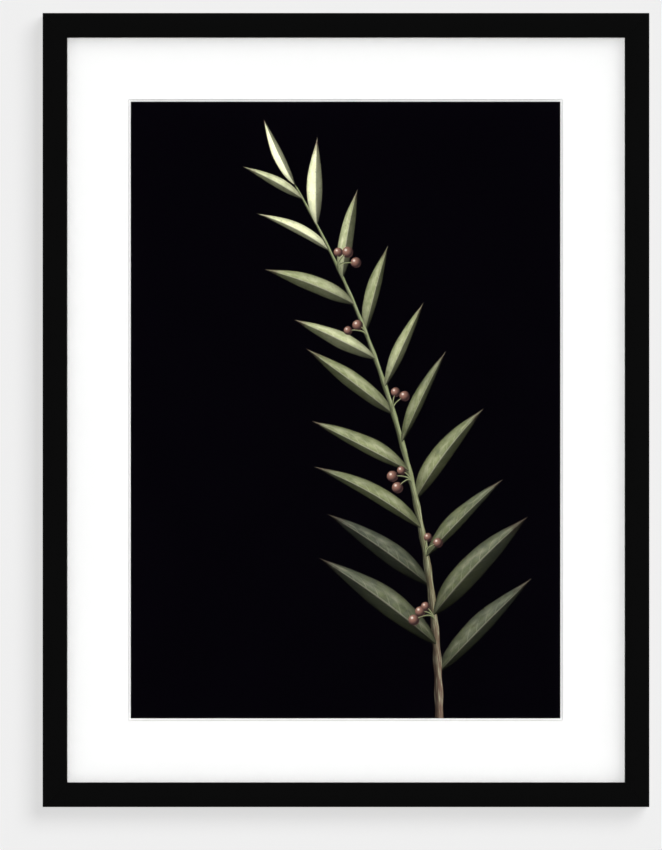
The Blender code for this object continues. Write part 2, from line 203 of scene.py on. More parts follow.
@dataclass
class Skin:
    """Grids of points and flat caps, which are welded into one closed mesh."""

    name: str
    vertices: list[np.ndarray] = field(default_factory=list)
    faces: list[list[int]] = field(default_factory=list)
    uvs: list[np.ndarray] = field(default_factory=list)
    count: int = 0

    def add_grid(self, points: np.ndarray, uv: np.ndarray | None = None) -> None:
        """Adds a grid of four-sided faces.

        Args:
            points: (rows, columns, 3).
            uv: (rows, columns, 2), or None where no pattern follows the surface.
        """
        rows, columns = points.shape[:2]
        index = self.count + np.arange(rows * columns).reshape(rows, columns)
        quads = np.stack([index[:-1, :-1], index[1:, :-1], index[1:, 1:], index[:-1, 1:]], axis=2)
        self.faces += quads.reshape(-1, 4).tolist()
        self._keep(points.reshape(-1, 3), None if uv is None else uv.reshape(-1, 2))

    def add_plate(self, front: np.ndarray, back: np.ndarray) -> None:
        """Adds the two faces of a thin plate, and the strips between their first and last columns.

        Args:
            front: one face, (rows, columns, 3).
            back: the other, point for point.
        """
        self.add_grid(front)
        self.add_grid(back)
        for column in (0, -1):
            self.add_grid(np.stack([front[:, column], back[:, column]]))

    def add_cap(self, loop: np.ndarray, uv: np.ndarray | None = None) -> None:
        """Adds one flat face.

        Args:
            loop: its corners in order, (n, 3).
            uv: (n, 2), or None.
        """
        self.faces.append(list(range(self.count, self.count + len(loop))))
        self._keep(loop, uv)

    def _keep(self, points: np.ndarray, uv: np.ndarray | None) -> None:
        """Keeps the points and their place in the pattern.

        Args:
            points: (n, 3).
            uv: (n, 2), or None where no pattern follows the surface.
        """
        self.vertices.append(points)
        self.uvs.append(np.zeros((len(points), 2)) if uv is None else uv)
        self.count += len(points)

    def build(self, crease: float = 35.0, weld: float = 1e-6) -> bpy.types.Object:
        """Makes the object, welds its seams and turns its faces outwards.

        Args:
            crease: the angle between faces, in degrees, past which their edge stays sharp.
            weld: how near two points are to become one.

        Returns:
            The new object, at the origin.
        """
        mesh = bpy.data.meshes.new(self.name)
        mesh.from_pydata(np.concatenate(self.vertices).tolist(), [], self.faces)
        corner = np.empty(len(mesh.loops), dtype=np.int32)
        mesh.loops.foreach_get("vertex_index", corner)
        layer = mesh.uv_layers.new(name="grain")
        layer.uv.foreach_set("vector", np.concatenate(self.uvs)[corner].astype(np.float32).ravel())
        form = bmesh.new()
        form.from_mesh(mesh)
        bmesh.ops.remove_doubles(form, verts=form.verts, dist=weld)
        bmesh.ops.recalc_face_normals(form, faces=form.faces)
        form.to_mesh(mesh)
        form.free()
        mesh.shade_smooth()
        mesh.set_sharp_from_angle(angle=math.radians(crease))
        piece = bpy.data.objects.new(self.name, mesh)
        bpy.context.scene.collection.objects.link(piece)
        return piece


def slab(name: str, box: Box, radius: float, cells: tuple[int, int] = (8, 10)) -> bpy.types.Object:
    """A flat sheet with rounded rims.

    Each face is a grid. Within a radius of a side, the grid turns through a quarter circle: it goes
    in from the box by the radius, out again by its sine, and down by one less the cosines of both
    its turns. A strip joins the two faces' borders.

    Args:
        name: of the piece.
        box: that the sheet fills.
        radius: of the rims.
        cells: of the flat part, across and up.

    Returns:
        The sheet.
    """
    centre, size = box.centre, box.size

    def line(length: float, count: int) -> tuple[np.ndarray, np.ndarray]:
        """Cuts one side into cells.

        Args:
            length: of the side.
            count: of the flat part's cells.

        Returns:
            Places along the side, and the turn of the rim at each.
        """
        turn = np.linspace(0.0, np.pi / 2, 4)[1:]
        reach = length / 2 - radius
        flat = np.linspace(-reach, reach, count + 1)
        places = np.concatenate([-reach - radius * np.sin(turn[::-1]), flat, reach + radius * np.sin(turn)])
        turns = np.concatenate([turn[::-1], np.zeros(count + 1), turn])
        return places, turns

    across, turn_x = line(size.x, cells[0])
    up, turn_z = line(size.z, cells[1])
    x, z = np.meshgrid(across + centre.x, up + centre.z, indexing="ij")
    sunk = radius * (1.0 - np.cos(turn_x)[:, None] * np.cos(turn_z)[None, :])
    front = grid_of(x, box.low.y + sunk, z)
    rear = grid_of(x, box.high.y - sunk, z)

    def border(grid: np.ndarray) -> np.ndarray:
        """The grid's outer points, once round."""
        sides = [grid[:, 0], grid[-1, 1:], grid[-2::-1, -1], grid[0, -2::-1]]
        return np.concatenate(sides)

    skin = Skin(name)
    skin.add_grid(front)
    skin.add_grid(rear)
    skin.add_grid(np.stack([border(front), border(rear)]))
    return skin.build()


def turned(name: str, profile: np.ndarray, centre: Vector, sides: int,
           relief: Callable[[np.ndarray, np.ndarray], np.ndarray] | None = None) -> bpy.types.Object:
    """A solid of revolution about an axis along +Y.

    A point at radius r, height h and angle t lies r cos t across, r sin t up, and h towards the
    wall, less the relief there.

    Args:
        name: of the piece.
        profile: (n, 2) radii and heights, from the axis to the axis.
        centre: of the profile's height 0, on the axis.
        sides: round the axis.
        relief: how deep the surface is cut, from the places across and up.

    Returns:
        The turned piece.
    """
    angle = np.linspace(0.0, 2 * np.pi, sides + 1)
    radius, height = profile[:, 0][:, None], profile[:, 1][:, None]
    across, up = radius * np.cos(angle), radius * np.sin(angle)
    across[:, -1], up[:, -1] = across[:, 0], up[:, 0]
    if relief is not None:
        height = height - relief(across, up) * (height > 0)
    skin = Skin(name)
    skin.add_grid(grid_of(centre.x + across, centre.y + height, centre.z + up))
    return skin.build()


def smooth_step(value: np.ndarray, low: float, high: float) -> np.ndarray:
    """A soft rise: with t the share of the way from low to high, t squared times 3 - 2 t."""
    share = np.clip((value - low) / (high - low), 0.0, 1.0)
    return share * share * (3.0 - 2.0 * share)


# ---------------------------------------------------------------- shader graphs


class Graph:
    """A node tree that is written as arithmetic on signals."""

    COLUMNS = 14
    CELL = (200, -180)

    def __init__(self, tree: bpy.types.NodeTree) -> None:
        """Starts on a tree whose own nodes are kept."""
        self.tree = tree

    def add(self, kind: str, **settings: object) -> bpy.types.Node:
        """A new node, laid out in rows.

        Args:
            kind: the node's type.
            settings: its properties.

        Returns:
            The node.
        """
        node = self.tree.nodes.new(kind)
        row, column = divmod(len(self.tree.nodes), self.COLUMNS)
        node.location = (self.CELL[0] * (column - self.COLUMNS), self.CELL[1] * row)
        for name, value in settings.items():
            setattr(node, name, value)
        return node

    def feed(self, socket: bpy.types.NodeSocket, value: Number | Colour | None) -> None:
        """Links a signal to a socket, or sets the socket to a plain value.

        Args:
            socket: the input.
            value: a signal, a plain value, or None to leave the socket as it is.
        """
        if isinstance(value, Signal):
            self.tree.links.new(value.socket, socket)
        elif isinstance(value, tuple) and socket.type == "RGBA":
            socket.default_value = (*value, 1.0)
        elif value is not None:
            socket.default_value = value

    def node(self, kind: str, inputs: Inputs, output: int | str = 0, **settings: object) -> "Signal":
        """A node's output.

        Args:
            kind: the node's type.
            inputs: values for its sockets, by name or number.
            output: which of its outputs.
            settings: its properties.

        Returns:
            The output's signal.
        """
        node = self.add(kind, **settings)
        for key, value in inputs.items():
            self.feed(node.inputs[key], value)
        return Signal(self, node.outputs[output])

    def math(self, operation: str, *values: Number) -> "Signal":
        """A Math node of up to three values."""
        return self.node("ShaderNodeMath", dict(enumerate(values)), operation=operation)

    def smooth(self, value: "Signal", low: float, high: float) -> "Signal":
        """0 below low, 1 above high and smooth between."""
        inputs = {"Value": value, "From Min": low, "From Max": high, "To Min": 0.0, "To Max": 1.0}
        return self.node("ShaderNodeMapRange", inputs, interpolation_type="SMOOTHSTEP")

    def blend(self, share: Number, first: "Signal | Colour", second: "Signal | Colour",
              mode: str = "MIX") -> "Signal":
        """A colour between two others, or made of both.

        Args:
            share: of the second colour.
            first: the colour at 0.
            second: the colour at 1.
            mode: how the second meets the first.

        Returns:
            The blended colour.
        """
        inputs = {0: share, 6: first, 7: second}
        return self.node("ShaderNodeMix", inputs, 2, data_type="RGBA", blend_type=mode, clamp_factor=True)

    def dim(self, colour: "Signal", light: "Signal") -> "Signal":
        """A colour under a share of light."""
        return self.blend(1.0, colour, self.point(light, light, light), "MULTIPLY")

    def between(self, share: Number, first: Number, second: Number) -> "Signal":
        """A number between two others, by a share."""
        return self.node("ShaderNodeMix", {0: share, 2: first, 3: second}, 0, data_type="FLOAT")

    def point(self, x: Number, y: Number, z: Number) -> "Signal":
        """A vector of three numbers."""
        return self.node("ShaderNodeCombineXYZ", {0: x, 1: y, 2: z})

    def parts(self, vector: "Signal") -> tuple["Signal", "Signal", "Signal"]:
        """The three numbers of a vector.

        Args:
            vector: a place, a normal or a colour.

        Returns:
            Its three numbers.
        """
        node = self.add("ShaderNodeSeparateXYZ")
        self.feed(node.inputs[0], vector)
        return tuple(Signal(self, output) for output in node.outputs)

    def place(self) -> "Signal":
        """A point's place in the object, in metres."""
        return self.node("ShaderNodeTexCoord", {}, "Object")

    def grain(self) -> "Signal":
        """A point's place on the piece's own UV map, in metres along and round."""
        return self.node("ShaderNodeUVMap", {}, uv_map="grain")

    def noise(self, where: "Signal", scale: Number, detail: float = 2.0, rough: float = 0.5) -> "Signal":
        """Noise about 0.5, with a scale in features per metre."""
        inputs = {"Vector": where, "Scale": scale, "Detail": detail, "Roughness": rough}
        return self.node("ShaderNodeTexNoise", inputs)

    def bump(self, height: "Signal", depth: float, strength: float) -> "Signal":
        """A normal bent by a height from 0 to 1, of a depth in metres."""
        inputs = {"Height": height, "Distance": depth, "Strength": strength}
        return self.node("ShaderNodeBump", inputs)


@dataclass(frozen=True)
class Signal:
    """One output of a graph, with arithmetic."""

    graph: Graph
    socket: bpy.types.NodeSocket

    def __add__(self, other: Number) -> "Signal":
        """The sum."""
        return self.graph.math("ADD", self, other)

    def __radd__(self, other: float) -> "Signal":
        """The sum."""
        return self.graph.math("ADD", other, self)

    def __sub__(self, other: Number) -> "Signal":
        """The difference."""
        return self.graph.math("SUBTRACT", self, other)

    def __rsub__(self, other: float) -> "Signal":
        """The difference."""
        return self.graph.math("SUBTRACT", other, self)

    def __mul__(self, other: Number) -> "Signal":
        """The product."""
        return self.graph.math("MULTIPLY", self, other)

    def __neg__(self) -> "Signal":
        """The opposite."""
        return self.graph.math("MULTIPLY", self, -1.0)

    def __abs__(self) -> "Signal":
        """The size without the sign."""
        return self.graph.math("ABSOLUTE", self)

    def sine(self) -> "Signal":
        """The sine of an angle in radians."""
        return self.graph.math("SINE", self)


# ---------------------------------------------------------------- finishes


class Finish:
    """A material of one Principled shader, whose sockets each kind of finish paints in its own way."""

    name: str

    def paint_colour(self, g: Graph) -> Signal:
        """Paints the base colour.

        Args:
            g: the material's graph.

        Returns:
            The colour at each point.
        """
        raise NotImplementedError

    def paint_roughness(self, g: Graph) -> Number:
        """Paints the roughness.

        Args:
            g: the material's graph.

        Returns:
            The roughness at each point, or one for the whole surface.
        """
        return 0.9

    def paint_normal(self, g: Graph) -> Signal | None:
        """Paints the normal.

        Args:
            g: the material's graph.

        Returns:
            The bent normal, or None where the surface keeps its own.
        """
        return None

    def plain_values(self) -> dict[str, float]:
        """The values that are the same all over, by the shader's socket."""
        return {}

    def material(self) -> bpy.types.Material:
        """Makes the material.

        Returns:
            The material, with every painted signal in its socket.
        """
        material = bpy.data.materials.new(self.name)
        material.use_nodes = True
        g = Graph(material.node_tree)
        shader = material.node_tree.nodes["Principled BSDF"]
        g.feed(shader.inputs["Base Color"], self.paint_colour(g))
        g.feed(shader.inputs["Roughness"], self.paint_roughness(g))
        g.feed(shader.inputs["Normal"], self.paint_normal(g))
        for socket, value in self.plain_values().items():
            shader.inputs[socket].default_value = value
        return material


@dataclass(frozen=True)
class MouldingFinish(Finish):
    """Black satin lacquer on pale wood, which stays bare behind.

    The piece's UV map runs along the rail and round its section, from the lacquer's edge behind.
    """

    painted_to: float  # how far round the section the lacquer goes
    name: str = "black_lacquer_on_wood"
    black: Colour = (0.0020, 0.0020, 0.0020)
    wood_light: Colour = (0.56, 0.40, 0.25)
    wood_dark: Colour = (0.33, 0.20, 0.11)
    pore: Colour = (0.17, 0.095, 0.05)
    mist: float = 1.6 * MM  # width of the sprayed edge behind
    fray: float = 1.2 * MM  # width of the ragged edge behind the lip

    def fibres(self, g: Graph, along: float, across: float, detail: float = 3.0) -> Signal:
        """Noise drawn out along the rail.

        Args:
            g: the material's graph.
            along: features per metre of the rail.
            across: features per metre round the section.
            detail: of the noise.

        Returns:
            Noise about 0.5.
        """
        u, v, _ = g.parts(g.grain())
        return g.noise(g.point(u * along, v * across, 0.0), 1.0, detail)

    def painted(self, g: Graph) -> Signal:
        """Where the lacquer is: it thins to a mist behind and has a ragged edge inside the frame.

        Args:
            g: the material's graph.

        Returns:
            1 on lacquer and 0 on bare wood.
        """
        _, v, _ = g.parts(g.grain())
        drops = g.noise(g.place(), 3800.0, 2.0)
        start = g.smooth(v + (drops - 0.5) * self.mist, 0.0, self.mist)
        ragged = (self.fibres(g, 160.0, 500.0) - 0.5) * (2 * self.fray)
        return start * (1.0 - g.smooth(v + ragged, self.painted_to - self.fray, self.painted_to))

    def paint_colour(self, g: Graph) -> Signal:
        """Bands of early and late wood with dark pores, under the black.

        Args:
            g: the material's graph.

        Returns:
            The colour at each point.
        """
        bands = g.smooth(self.fibres(g, 5.0, 260.0, 4.0), 0.30, 0.70)
        pores = g.smooth(self.fibres(g, 150.0, 5200.0, 1.0), 0.58, 0.74)
        lines = g.smooth(self.fibres(g, 14.0, 1500.0, 2.0), 0.40, 0.75)
        wood = g.blend(bands, self.wood_light, self.wood_dark)
        wood = g.blend(lines * 0.35, wood, self.wood_dark)
        wood = g.blend(pores * 0.60, wood, self.pore)
        return g.blend(self.painted(g), wood, self.black)

    def paint_roughness(self, g: Graph) -> Signal:
        """Dull bare wood, and lacquer with faint rubbed streaks."""
        streaks = self.fibres(g, 12.0, 420.0)
        return g.between(self.painted(g), 0.78, 0.33 + streaks * 0.12)

    def paint_normal(self, g: Graph) -> Signal:
        """Fine fibres, half filled by the lacquer."""
        height = self.fibres(g, 60.0, 2200.0) * g.between(self.painted(g), 1.0, 0.35)
        return g.bump(height, 0.06 * MM, 0.5)


@dataclass(frozen=True)
class GlassFinish:
    """Clear picture glass: it lets light straight through and mirrors by its angle.

    A ray meets the mirror once a crossing, where it enters, and that stands for both faces.
    """

    name: str = "picture_glass"
    tint: Colour = (0.990, 0.992, 0.990)
    ior: float = 1.5
    both_faces: float = 1.85  # how much more two faces mirror than one

    def material(self) -> bpy.types.Material:
        """Makes the material.

        Returns:
            A mix of a clear shader and a mirror, with the mirror's share by Fresnel's law.
        """
        material = bpy.data.materials.new(self.name)
        material.use_nodes = True
        tree = material.node_tree
        tree.nodes.remove(tree.nodes["Principled BSDF"])
        g = Graph(tree)
        leaving = g.node("ShaderNodeNewGeometry", {}, "Backfacing")
        once = g.node("ShaderNodeFresnel", {"IOR": self.ior})
        share = g.math("MINIMUM", once * self.both_faces, 1.0) * (1.0 - leaving)
        clear = g.node("ShaderNodeBsdfTransparent", {"Color": self.tint})
        mirror = g.node("ShaderNodeBsdfGlossy", {"Roughness": 0.0})
        mixed = g.node("ShaderNodeMixShader", {0: share, 1: clear, 2: mirror})
        g.feed(tree.nodes["Material Output"].inputs["Surface"], mixed)
        return material


@dataclass(frozen=True)
class MatBoardFinish(Finish):
    """White mat board: a lightly toothed face paper on a smooth bright core, both seen where it is cut, with
    painted shade along the cut's rim.
    """

    front: float  # depth of the face
    name: str = "white_mat_board"
    face: Colour = (0.848, 0.843, 0.846)
    # the face paper's edge in the cut: partly its own tone, partly painted shade at the cut's rim
    shaded_paper_edge: Colour = (0.68, 0.676, 0.678)
    core: Colour = (0.970, 0.966, 0.968)
    paper: float = 0.4 * MM
    tooth: float = 0.03 * MM

    def cut(self, g: Graph) -> Signal:
        """1 on the cut faces, which don't face straight forwards or back."""
        _, y, _ = g.parts(g.node("ShaderNodeNewGeometry", {}, "True Normal"))
        return 1.0 - g.smooth(abs(y), 0.75, 0.95)

    def paint_colour(self, g: Graph) -> Signal:
        """The face paper's faint fibres, and in the cut the paper's edge as a grey line, partly its own tone
        and partly painted shade, then the core.

        Args:
            g: the material's graph.

        Returns:
            The colour at each point.
        """
        fibres = g.noise(g.place(), 2500.0, 3.0)
        paper = g.blend(fibres, self.face, darker(self.face, 0.985))
        _, y, _ = g.parts(g.place())
        # painted shade: the first paper depth of the cut is drawn as a grey line along its rim
        edge = g.smooth(y, self.front + self.paper, self.front + 1.2 * self.paper)
        return g.blend(self.cut(g), paper, g.blend(edge, self.shaded_paper_edge, self.core))

    def paint_normal(self, g: Graph) -> Signal:
        """The paper's tooth, less of it on the cut."""
        tooth = g.noise(g.place(), 1800.0, 4.0, 0.6) * (1.0 - self.cut(g) * 0.6)
        return g.bump(tooth, self.tooth, 0.6)

    def plain_values(self) -> dict[str, float]:
        """A dull surface, which shines little at any angle."""
        return {"Specular IOR Level": 0.15}


class Print(Finish):
    """Ink on satin paper, which keeps the paper's fine pearl surface."""

    def paint_roughness(self, g: Graph) -> float:
        """The paper's satin, the same all over."""
        return 0.32

    def paint_normal(self, g: Graph) -> Signal:
        """The paper's pearl."""
        return g.bump(g.noise(g.place(), 2200.0, 2.0), 0.01 * MM, 0.4)

    def plain_values(self) -> dict[str, float]:
        """Ink shines a little less than bare paper."""
        return {"Specular IOR Level": 0.35}


@dataclass(frozen=True)
class GroundInk(Print):
    """The black that floods the paper."""

    name: str = "black_printed_paper"
    ground: Colour = (0.0014, 0.0008, 0.0026)
    faint: Colour = (0.0008, 0.0005, 0.0016)

    def paint_colour(self, g: Graph) -> Signal:
        """Slow clouds in the black."""
        return g.blend(g.noise(g.place(), 30.0, 3.0), self.ground, self.faint)


@dataclass(frozen=True)
class LeafPlace:
    """A point's place on its leaf, and the noise there."""

    number: Signal  # of the leaf, from 0 at the sprig's foot
    u: Signal  # from the leaf's start at 0 to its tip at 1
    v: Signal  # across, from -1 to 1, above 0 on the half that the painted light falls on
    chance: Signal  # the leaf's own draw, from 0 to 1
    fleck: Signal  # blotches
    fibre: Signal  # streaks along the leaf


@dataclass(frozen=True)
class LeafInk(Print):
    """The leaves' ink. Its map holds twice the leaf's number plus its u, and v."""

    count: int
    name: str = "leaf_ink"
    pale_green: Colour = (0.60, 0.61, 0.39)
    mid_green: Colour = (0.215, 0.245, 0.105)
    grey_green: Colour = (0.135, 0.155, 0.110)
    dusk_purple: Colour = (0.105, 0.058, 0.050)
    pale_vein: Colour = (0.68, 0.66, 0.48)
    vein_turns: float = 64.0  # of the veins' wave along a leaf, in radians

    def place_on_leaf(self, g: Graph) -> LeafPlace:
        """Reads the leaf's number and the place on it from the map.

        Args:
            g: the material's graph.

        Returns:
            The place, with the noise there.
        """
        run, v, _ = g.parts(g.grain())
        number = g.math("FLOOR", run * 0.5)
        u = run - number * 2.0
        chance = g.node("ShaderNodeTexWhiteNoise", {"W": number + 0.5}, 0, noise_dimensions="1D")
        fleck = g.noise(g.place(), 170.0, 5.0, 0.65)
        fibre = g.noise(g.point(u * 9.0, v * 2.6, number * 7.3), 1.0, 4.0)
        return LeafPlace(number, u, v, chance, fleck, fibre)

    def green(self, g: Graph, at: LeafPlace) -> Signal:
        """Grey green low on the sprig to pale green at its tip, each leaf by its own chance.

        Args:
            g: the material's graph.
            at: the place on the leaf.

        Returns:
            The blade's green.
        """
        value = at.number * (0.74 / self.count) + at.chance * 0.20 - at.u * 0.22 + (at.fleck - 0.5) * 0.50
        green = g.blend(g.smooth(value, -0.05, 0.38), self.grey_green, self.mid_green)
        return g.blend(g.smooth(value, 0.22, 1.0), green, self.pale_green)

    def veins(self, g: Graph, at: LeafPlace) -> Signal:
        """Thin crests that leave the midrib and bend more and more towards the tip, fading on the way.

        Args:
            g: the material's graph.
            at: the place on the leaf.

        Returns:
            1 on a crest and 0 between.
        """
        side = abs(at.v)
        run = at.u - side * 0.10 - side * side * 0.11
        wave = (run * self.vein_turns).sine()
        return g.smooth(wave, 0.90, 1.0) * (1.0 - g.smooth(side, 0.10, 0.92))

    def light(self, g: Graph, at: LeafPlace) -> Signal:
        """A lit half that arches over to its margin, a dim half, and dusk where the leaf starts.

        Args:
            g: the material's graph.
            at: the place on the leaf.

        Returns:
            The share of light, brighter on the leaves further up.
        """
        side = abs(at.v)
        lit = g.smooth(at.v, -0.10, 0.16)
        arch = g.between(lit, 0.62 - side * 0.34, 1.22 - side * side * 0.50)
        light = g.between(lit, 0.42, 0.98) * arch
        light = light * (0.34 + g.smooth(at.u, 0.0, 0.42) * 0.66) * (1.0 - g.smooth(at.u, 0.80, 1.0) * 0.3)
        high = at.number * (1.0 / self.count)
        light = light * (0.74 + at.fibre * 0.52) * (0.66 + at.chance * 0.38)
        return light * (0.50 + high * (1.25 + high * 0.25))

    def paint_colour(self, g: Graph) -> Signal:
        """The blade's green, veins, specks, gloss and aged tip, under its light and shade.

        Args:
            g: the material's graph.

        Returns:
            The colour at each point.
        """
        at = self.place_on_leaf(g)
        side = abs(at.v)
        midrib = 1.0 - g.smooth(side, 0.03, 0.10)
        specks = g.smooth(g.noise(g.place(), 620.0, 2.0), 0.60, 0.70)
        tip = g.smooth(at.u + (at.fleck - 0.5) * 0.5, 0.78, 1.0)
        margin = g.smooth(side, 0.84, 1.0)
        ridge = g.smooth(at.v, 0.08, 0.50) * (1.0 - g.smooth(at.v, 0.50, 0.98))
        leaf = g.blend(self.veins(g, at) * 0.24, self.green(g, at), self.pale_vein)
        leaf = g.blend(midrib * 0.70, leaf, self.pale_vein)
        leaf = g.blend(tip * 0.8 + margin * 0.35 + specks * 0.30, leaf, self.dusk_purple)
        leaf = g.blend(ridge * g.smooth(at.fibre, 0.30, 0.80) * 0.42, leaf, self.pale_vein)
        return g.dim(leaf, self.light(g, at))


@dataclass(frozen=True)
class StemInk(Print):
    """The stem's ink. Its map holds u from the foot to the tip, and v from -1 to 1 across."""

    name: str = "stem_ink"
    bark: Colour = (0.125, 0.075, 0.055)
    green: Colour = (0.22, 0.25, 0.12)
    pale: Colour = (0.52, 0.52, 0.37)

    def paint_colour(self, g: Graph) -> Signal:
        """Bark that greens upwards, streaked along, and rounded by its shade.

        Args:
            g: the material's graph.

        Returns:
            The colour at each point.
        """
        u, v, _ = g.parts(g.grain())
        streaks = g.noise(g.point(u * 30.0, v * 3.4, 0.0), 1.0, 4.0)
        tint = g.blend(g.smooth(u + (streaks - 0.5) * 0.5, 0.02, 0.55), self.bark, self.green)
        tint = g.blend(g.smooth(streaks, 0.48, 0.70) * 0.55, tint, self.pale)
        return g.dim(tint, 0.26 + g.smooth(-v, -0.75, 0.55) * 0.95 - g.smooth(-v, 0.7, 1.0) * 0.35)


@dataclass(frozen=True)
class BerryInk(Print):
    """The berries' ink. Its map holds the place on each berry, from -1 to 1 across and up."""

    name: str = "berry_ink"
    flesh: Colour = (0.34, 0.17, 0.125)
    dark: Colour = (0.022, 0.010, 0.012)
    gleam: Colour = (0.90, 0.86, 0.78)
    gleam_at: tuple[float, float] = (-0.35, 0.4)

    def paint_colour(self, g: Graph) -> Signal:
        """A ball lit from the upper left, with a gleam and a rim of light from below.

        Args:
            g: the material's graph.

        Returns:
            The colour at each point.
        """
        x, z, _ = g.parts(g.grain())
        right, up = x - self.gleam_at[0], z - self.gleam_at[1]
        far = g.math("SQRT", right * right + up * up)
        out = g.math("SQRT", x * x + z * z)
        ball = g.blend(g.smooth(far, 0.1, 1.3), self.flesh, self.dark)
        ball = g.blend(g.smooth(out, 0.60, 1.05) * g.smooth(x - z, 0.4, 1.5) * 0.22, ball, self.flesh)
        return g.blend((1.0 - g.smooth(far, 0.08, 0.32)) * 0.75, ball, self.gleam)


@dataclass(frozen=True)
class FibreBoardFinish(Finish):
    """Brown fibre board with a smooth pressed face, flecked with lighter and darker fibres."""

    name: str = "fibre_board"
    middle: Colour = (0.33, 0.205, 0.115)
    dark: Colour = (0.20, 0.115, 0.06)
    light: Colour = (0.50, 0.35, 0.22)
    dark_flecks: tuple[tuple[float, float], ...] = ((12.0, 0.14), (128.0, 0.14), (98.0, 0.10))
    light_flecks: tuple[tuple[float, float], ...] = ((70.0, 0.12), (160.0, 0.10), (40.0, 0.12))

    def flecks(self, g: Graph, angle: float, share: float) -> Signal:
        """Fibres drawn out one way.

        Args:
            g: the material's graph.
            angle: of the fibres to the level, in degrees.
            share: about how much of the face they cover.

        Returns:
            1 on a fibre and 0 between.
        """
        x, y, z = g.parts(g.place())
        turn = math.radians(angle)
        along = x * math.cos(turn) + z * math.sin(turn)
        across = z * math.cos(turn) - x * math.sin(turn)
        fibres = g.noise(g.point(along * 420.0, y * 900.0, across * 2300.0), 1.0, 2.0)
        return g.smooth(fibres, 0.72 - share, 0.80 - share * 0.5)

    def paint_colour(self, g: Graph) -> Signal:
        """Clouds of brown, then dark and light fibres by turns, each layer at its own angle.

        Args:
            g: the material's graph.

        Returns:
            The colour at each point.
        """
        cloud = g.noise(g.place(), 14.0, 5.0, 0.6)
        base = g.blend(g.smooth(cloud, 0.3, 0.75), self.middle, darker(self.middle, 0.88))
        for below, above in zip(self.dark_flecks, self.light_flecks):
            base = g.blend(self.flecks(g, *below) * 0.42, base, self.dark)
            base = g.blend(self.flecks(g, *above) * 0.42, base, self.light)
        return base

    def paint_roughness(self, g: Graph) -> Signal:
        """A dull board, a little polished by the press in patches."""
        return 0.60 + g.noise(g.place(), 30.0, 3.0) * 0.22

    def paint_normal(self, g: Graph) -> Signal:
        """Pressed fibres."""
        return g.bump(g.noise(g.place(), 1300.0, 4.0), 0.05 * MM, 0.5)

    def plain_values(self) -> dict[str, float]:
        """A board that shines little."""
        return {"Specular IOR Level": 0.3}


@dataclass(frozen=True)
class SteelFinish(Finish):
    """Sheet or wire steel: zinc plated, or blackened and sprung."""

    name: str
    bright: Colour
    dull: Colour
    roughness: float
    metallic: float

    def rolled(self, g: Graph, along: float, across: float, detail: float) -> Signal:
        """Noise drawn out by the rolling.

        Args:
            g: the material's graph.
            along: features per metre along X.
            across: features per metre the other two ways.
            detail: of the noise.

        Returns:
            Noise about 0.5.
        """
        x, y, z = g.parts(g.place())
        return g.noise(g.point(x * along, y * across, z * across), 1.0, detail)

    def paint_colour(self, g: Graph) -> Signal:
        """Fine patches of the two tones, drawn out by the rolling."""
        patches = self.rolled(g, 80.0, 700.0, 4.0) * 0.6 + g.noise(g.place(), 1500.0, 3.0) * 0.4
        return g.blend(g.smooth(patches, 0.36, 0.66), self.bright, self.dull)

    def paint_roughness(self, g: Graph) -> Signal:
        """Rolling marks, as much above the mean roughness as below."""
        return (self.rolled(g, 120.0, 2600.0, 3.0) - 0.5) * 0.18 + self.roughness

    def paint_normal(self, g: Graph) -> Signal:
        """A slightly orange-peeled plating."""
        return g.bump(g.noise(g.place(), 1900.0, 2.0), 0.015 * MM, 0.5)

    def plain_values(self) -> dict[str, float]:
        """The share of bare metal."""
        return {"Metallic": self.metallic}


@dataclass(frozen=True)
class SoftFinish(Finish):
    """A dull moulded, woven or felted surface of one colour."""

    name: str
    colour: Colour
    roughness: float
    features: float  # per metre
    depth: float
    mottle: float = 0.12
    woven: bool = False

    def relief(self, g: Graph) -> Signal:
        """Noise, or the sines of a plain weave.

        Args:
            g: the material's graph.

        Returns:
            The height, from 0 to 1.
        """
        if not self.woven:
            return g.noise(g.place(), self.features, 3.0)
        x, _, z = g.parts(g.place())
        turn = 2 * math.pi * self.features
        return ((x * turn).sine() * (z * turn).sine() + 1.0) * 0.5

    def paint_colour(self, g: Graph) -> Signal:
        """The colour, mottled by the relief."""
        return g.blend(self.relief(g), darker(self.colour, 1.0 - 2 * self.mottle), self.colour)

    def paint_roughness(self, g: Graph) -> float:
        """The same all over."""
        return self.roughness

    def paint_normal(self, g: Graph) -> Signal:
        """The relief as a bump."""
        return g.bump(self.relief(g), self.depth, 0.6)

    def plain_values(self) -> dict[str, float]:
        """A soft surface that shines little."""
        return {"Specular IOR Level": 0.25}


ZINC_PLATE = SteelFinish(
    "zinc_plate",
    bright=(0.60, 0.61, 0.63),
    dull=(0.42, 0.43, 0.44),
    roughness=0.34,
    metallic=1.0,
)
BLACK_STEEL = SteelFinish(
    "black_spring_steel",
    bright=(0.035, 0.036, 0.040),
    dull=(0.018, 0.018, 0.020),
    roughness=0.42,
    metallic=0.75,
)
RUBBER = SoftFinish(
    "bumper_rubber",
    colour=(0.16, 0.16, 0.16),
    roughness=0.62,
    features=900.0,
    depth=0.03 * MM,
)
BOARD = SoftFinish(
    "mount_board",
    colour=(0.84, 0.83, 0.79),
    roughness=0.9,
    features=1500.0,
    depth=0.03 * MM,
    mottle=0.02,
)
LINEN = SoftFinish(
    "linen_tape",
    colour=(0.84, 0.82, 0.76),
    roughness=0.9,
    features=1100.0,
    depth=0.05 * MM,
    mottle=0.05,
    woven=True,
)


# ---------------------------------------------------------------- pieces


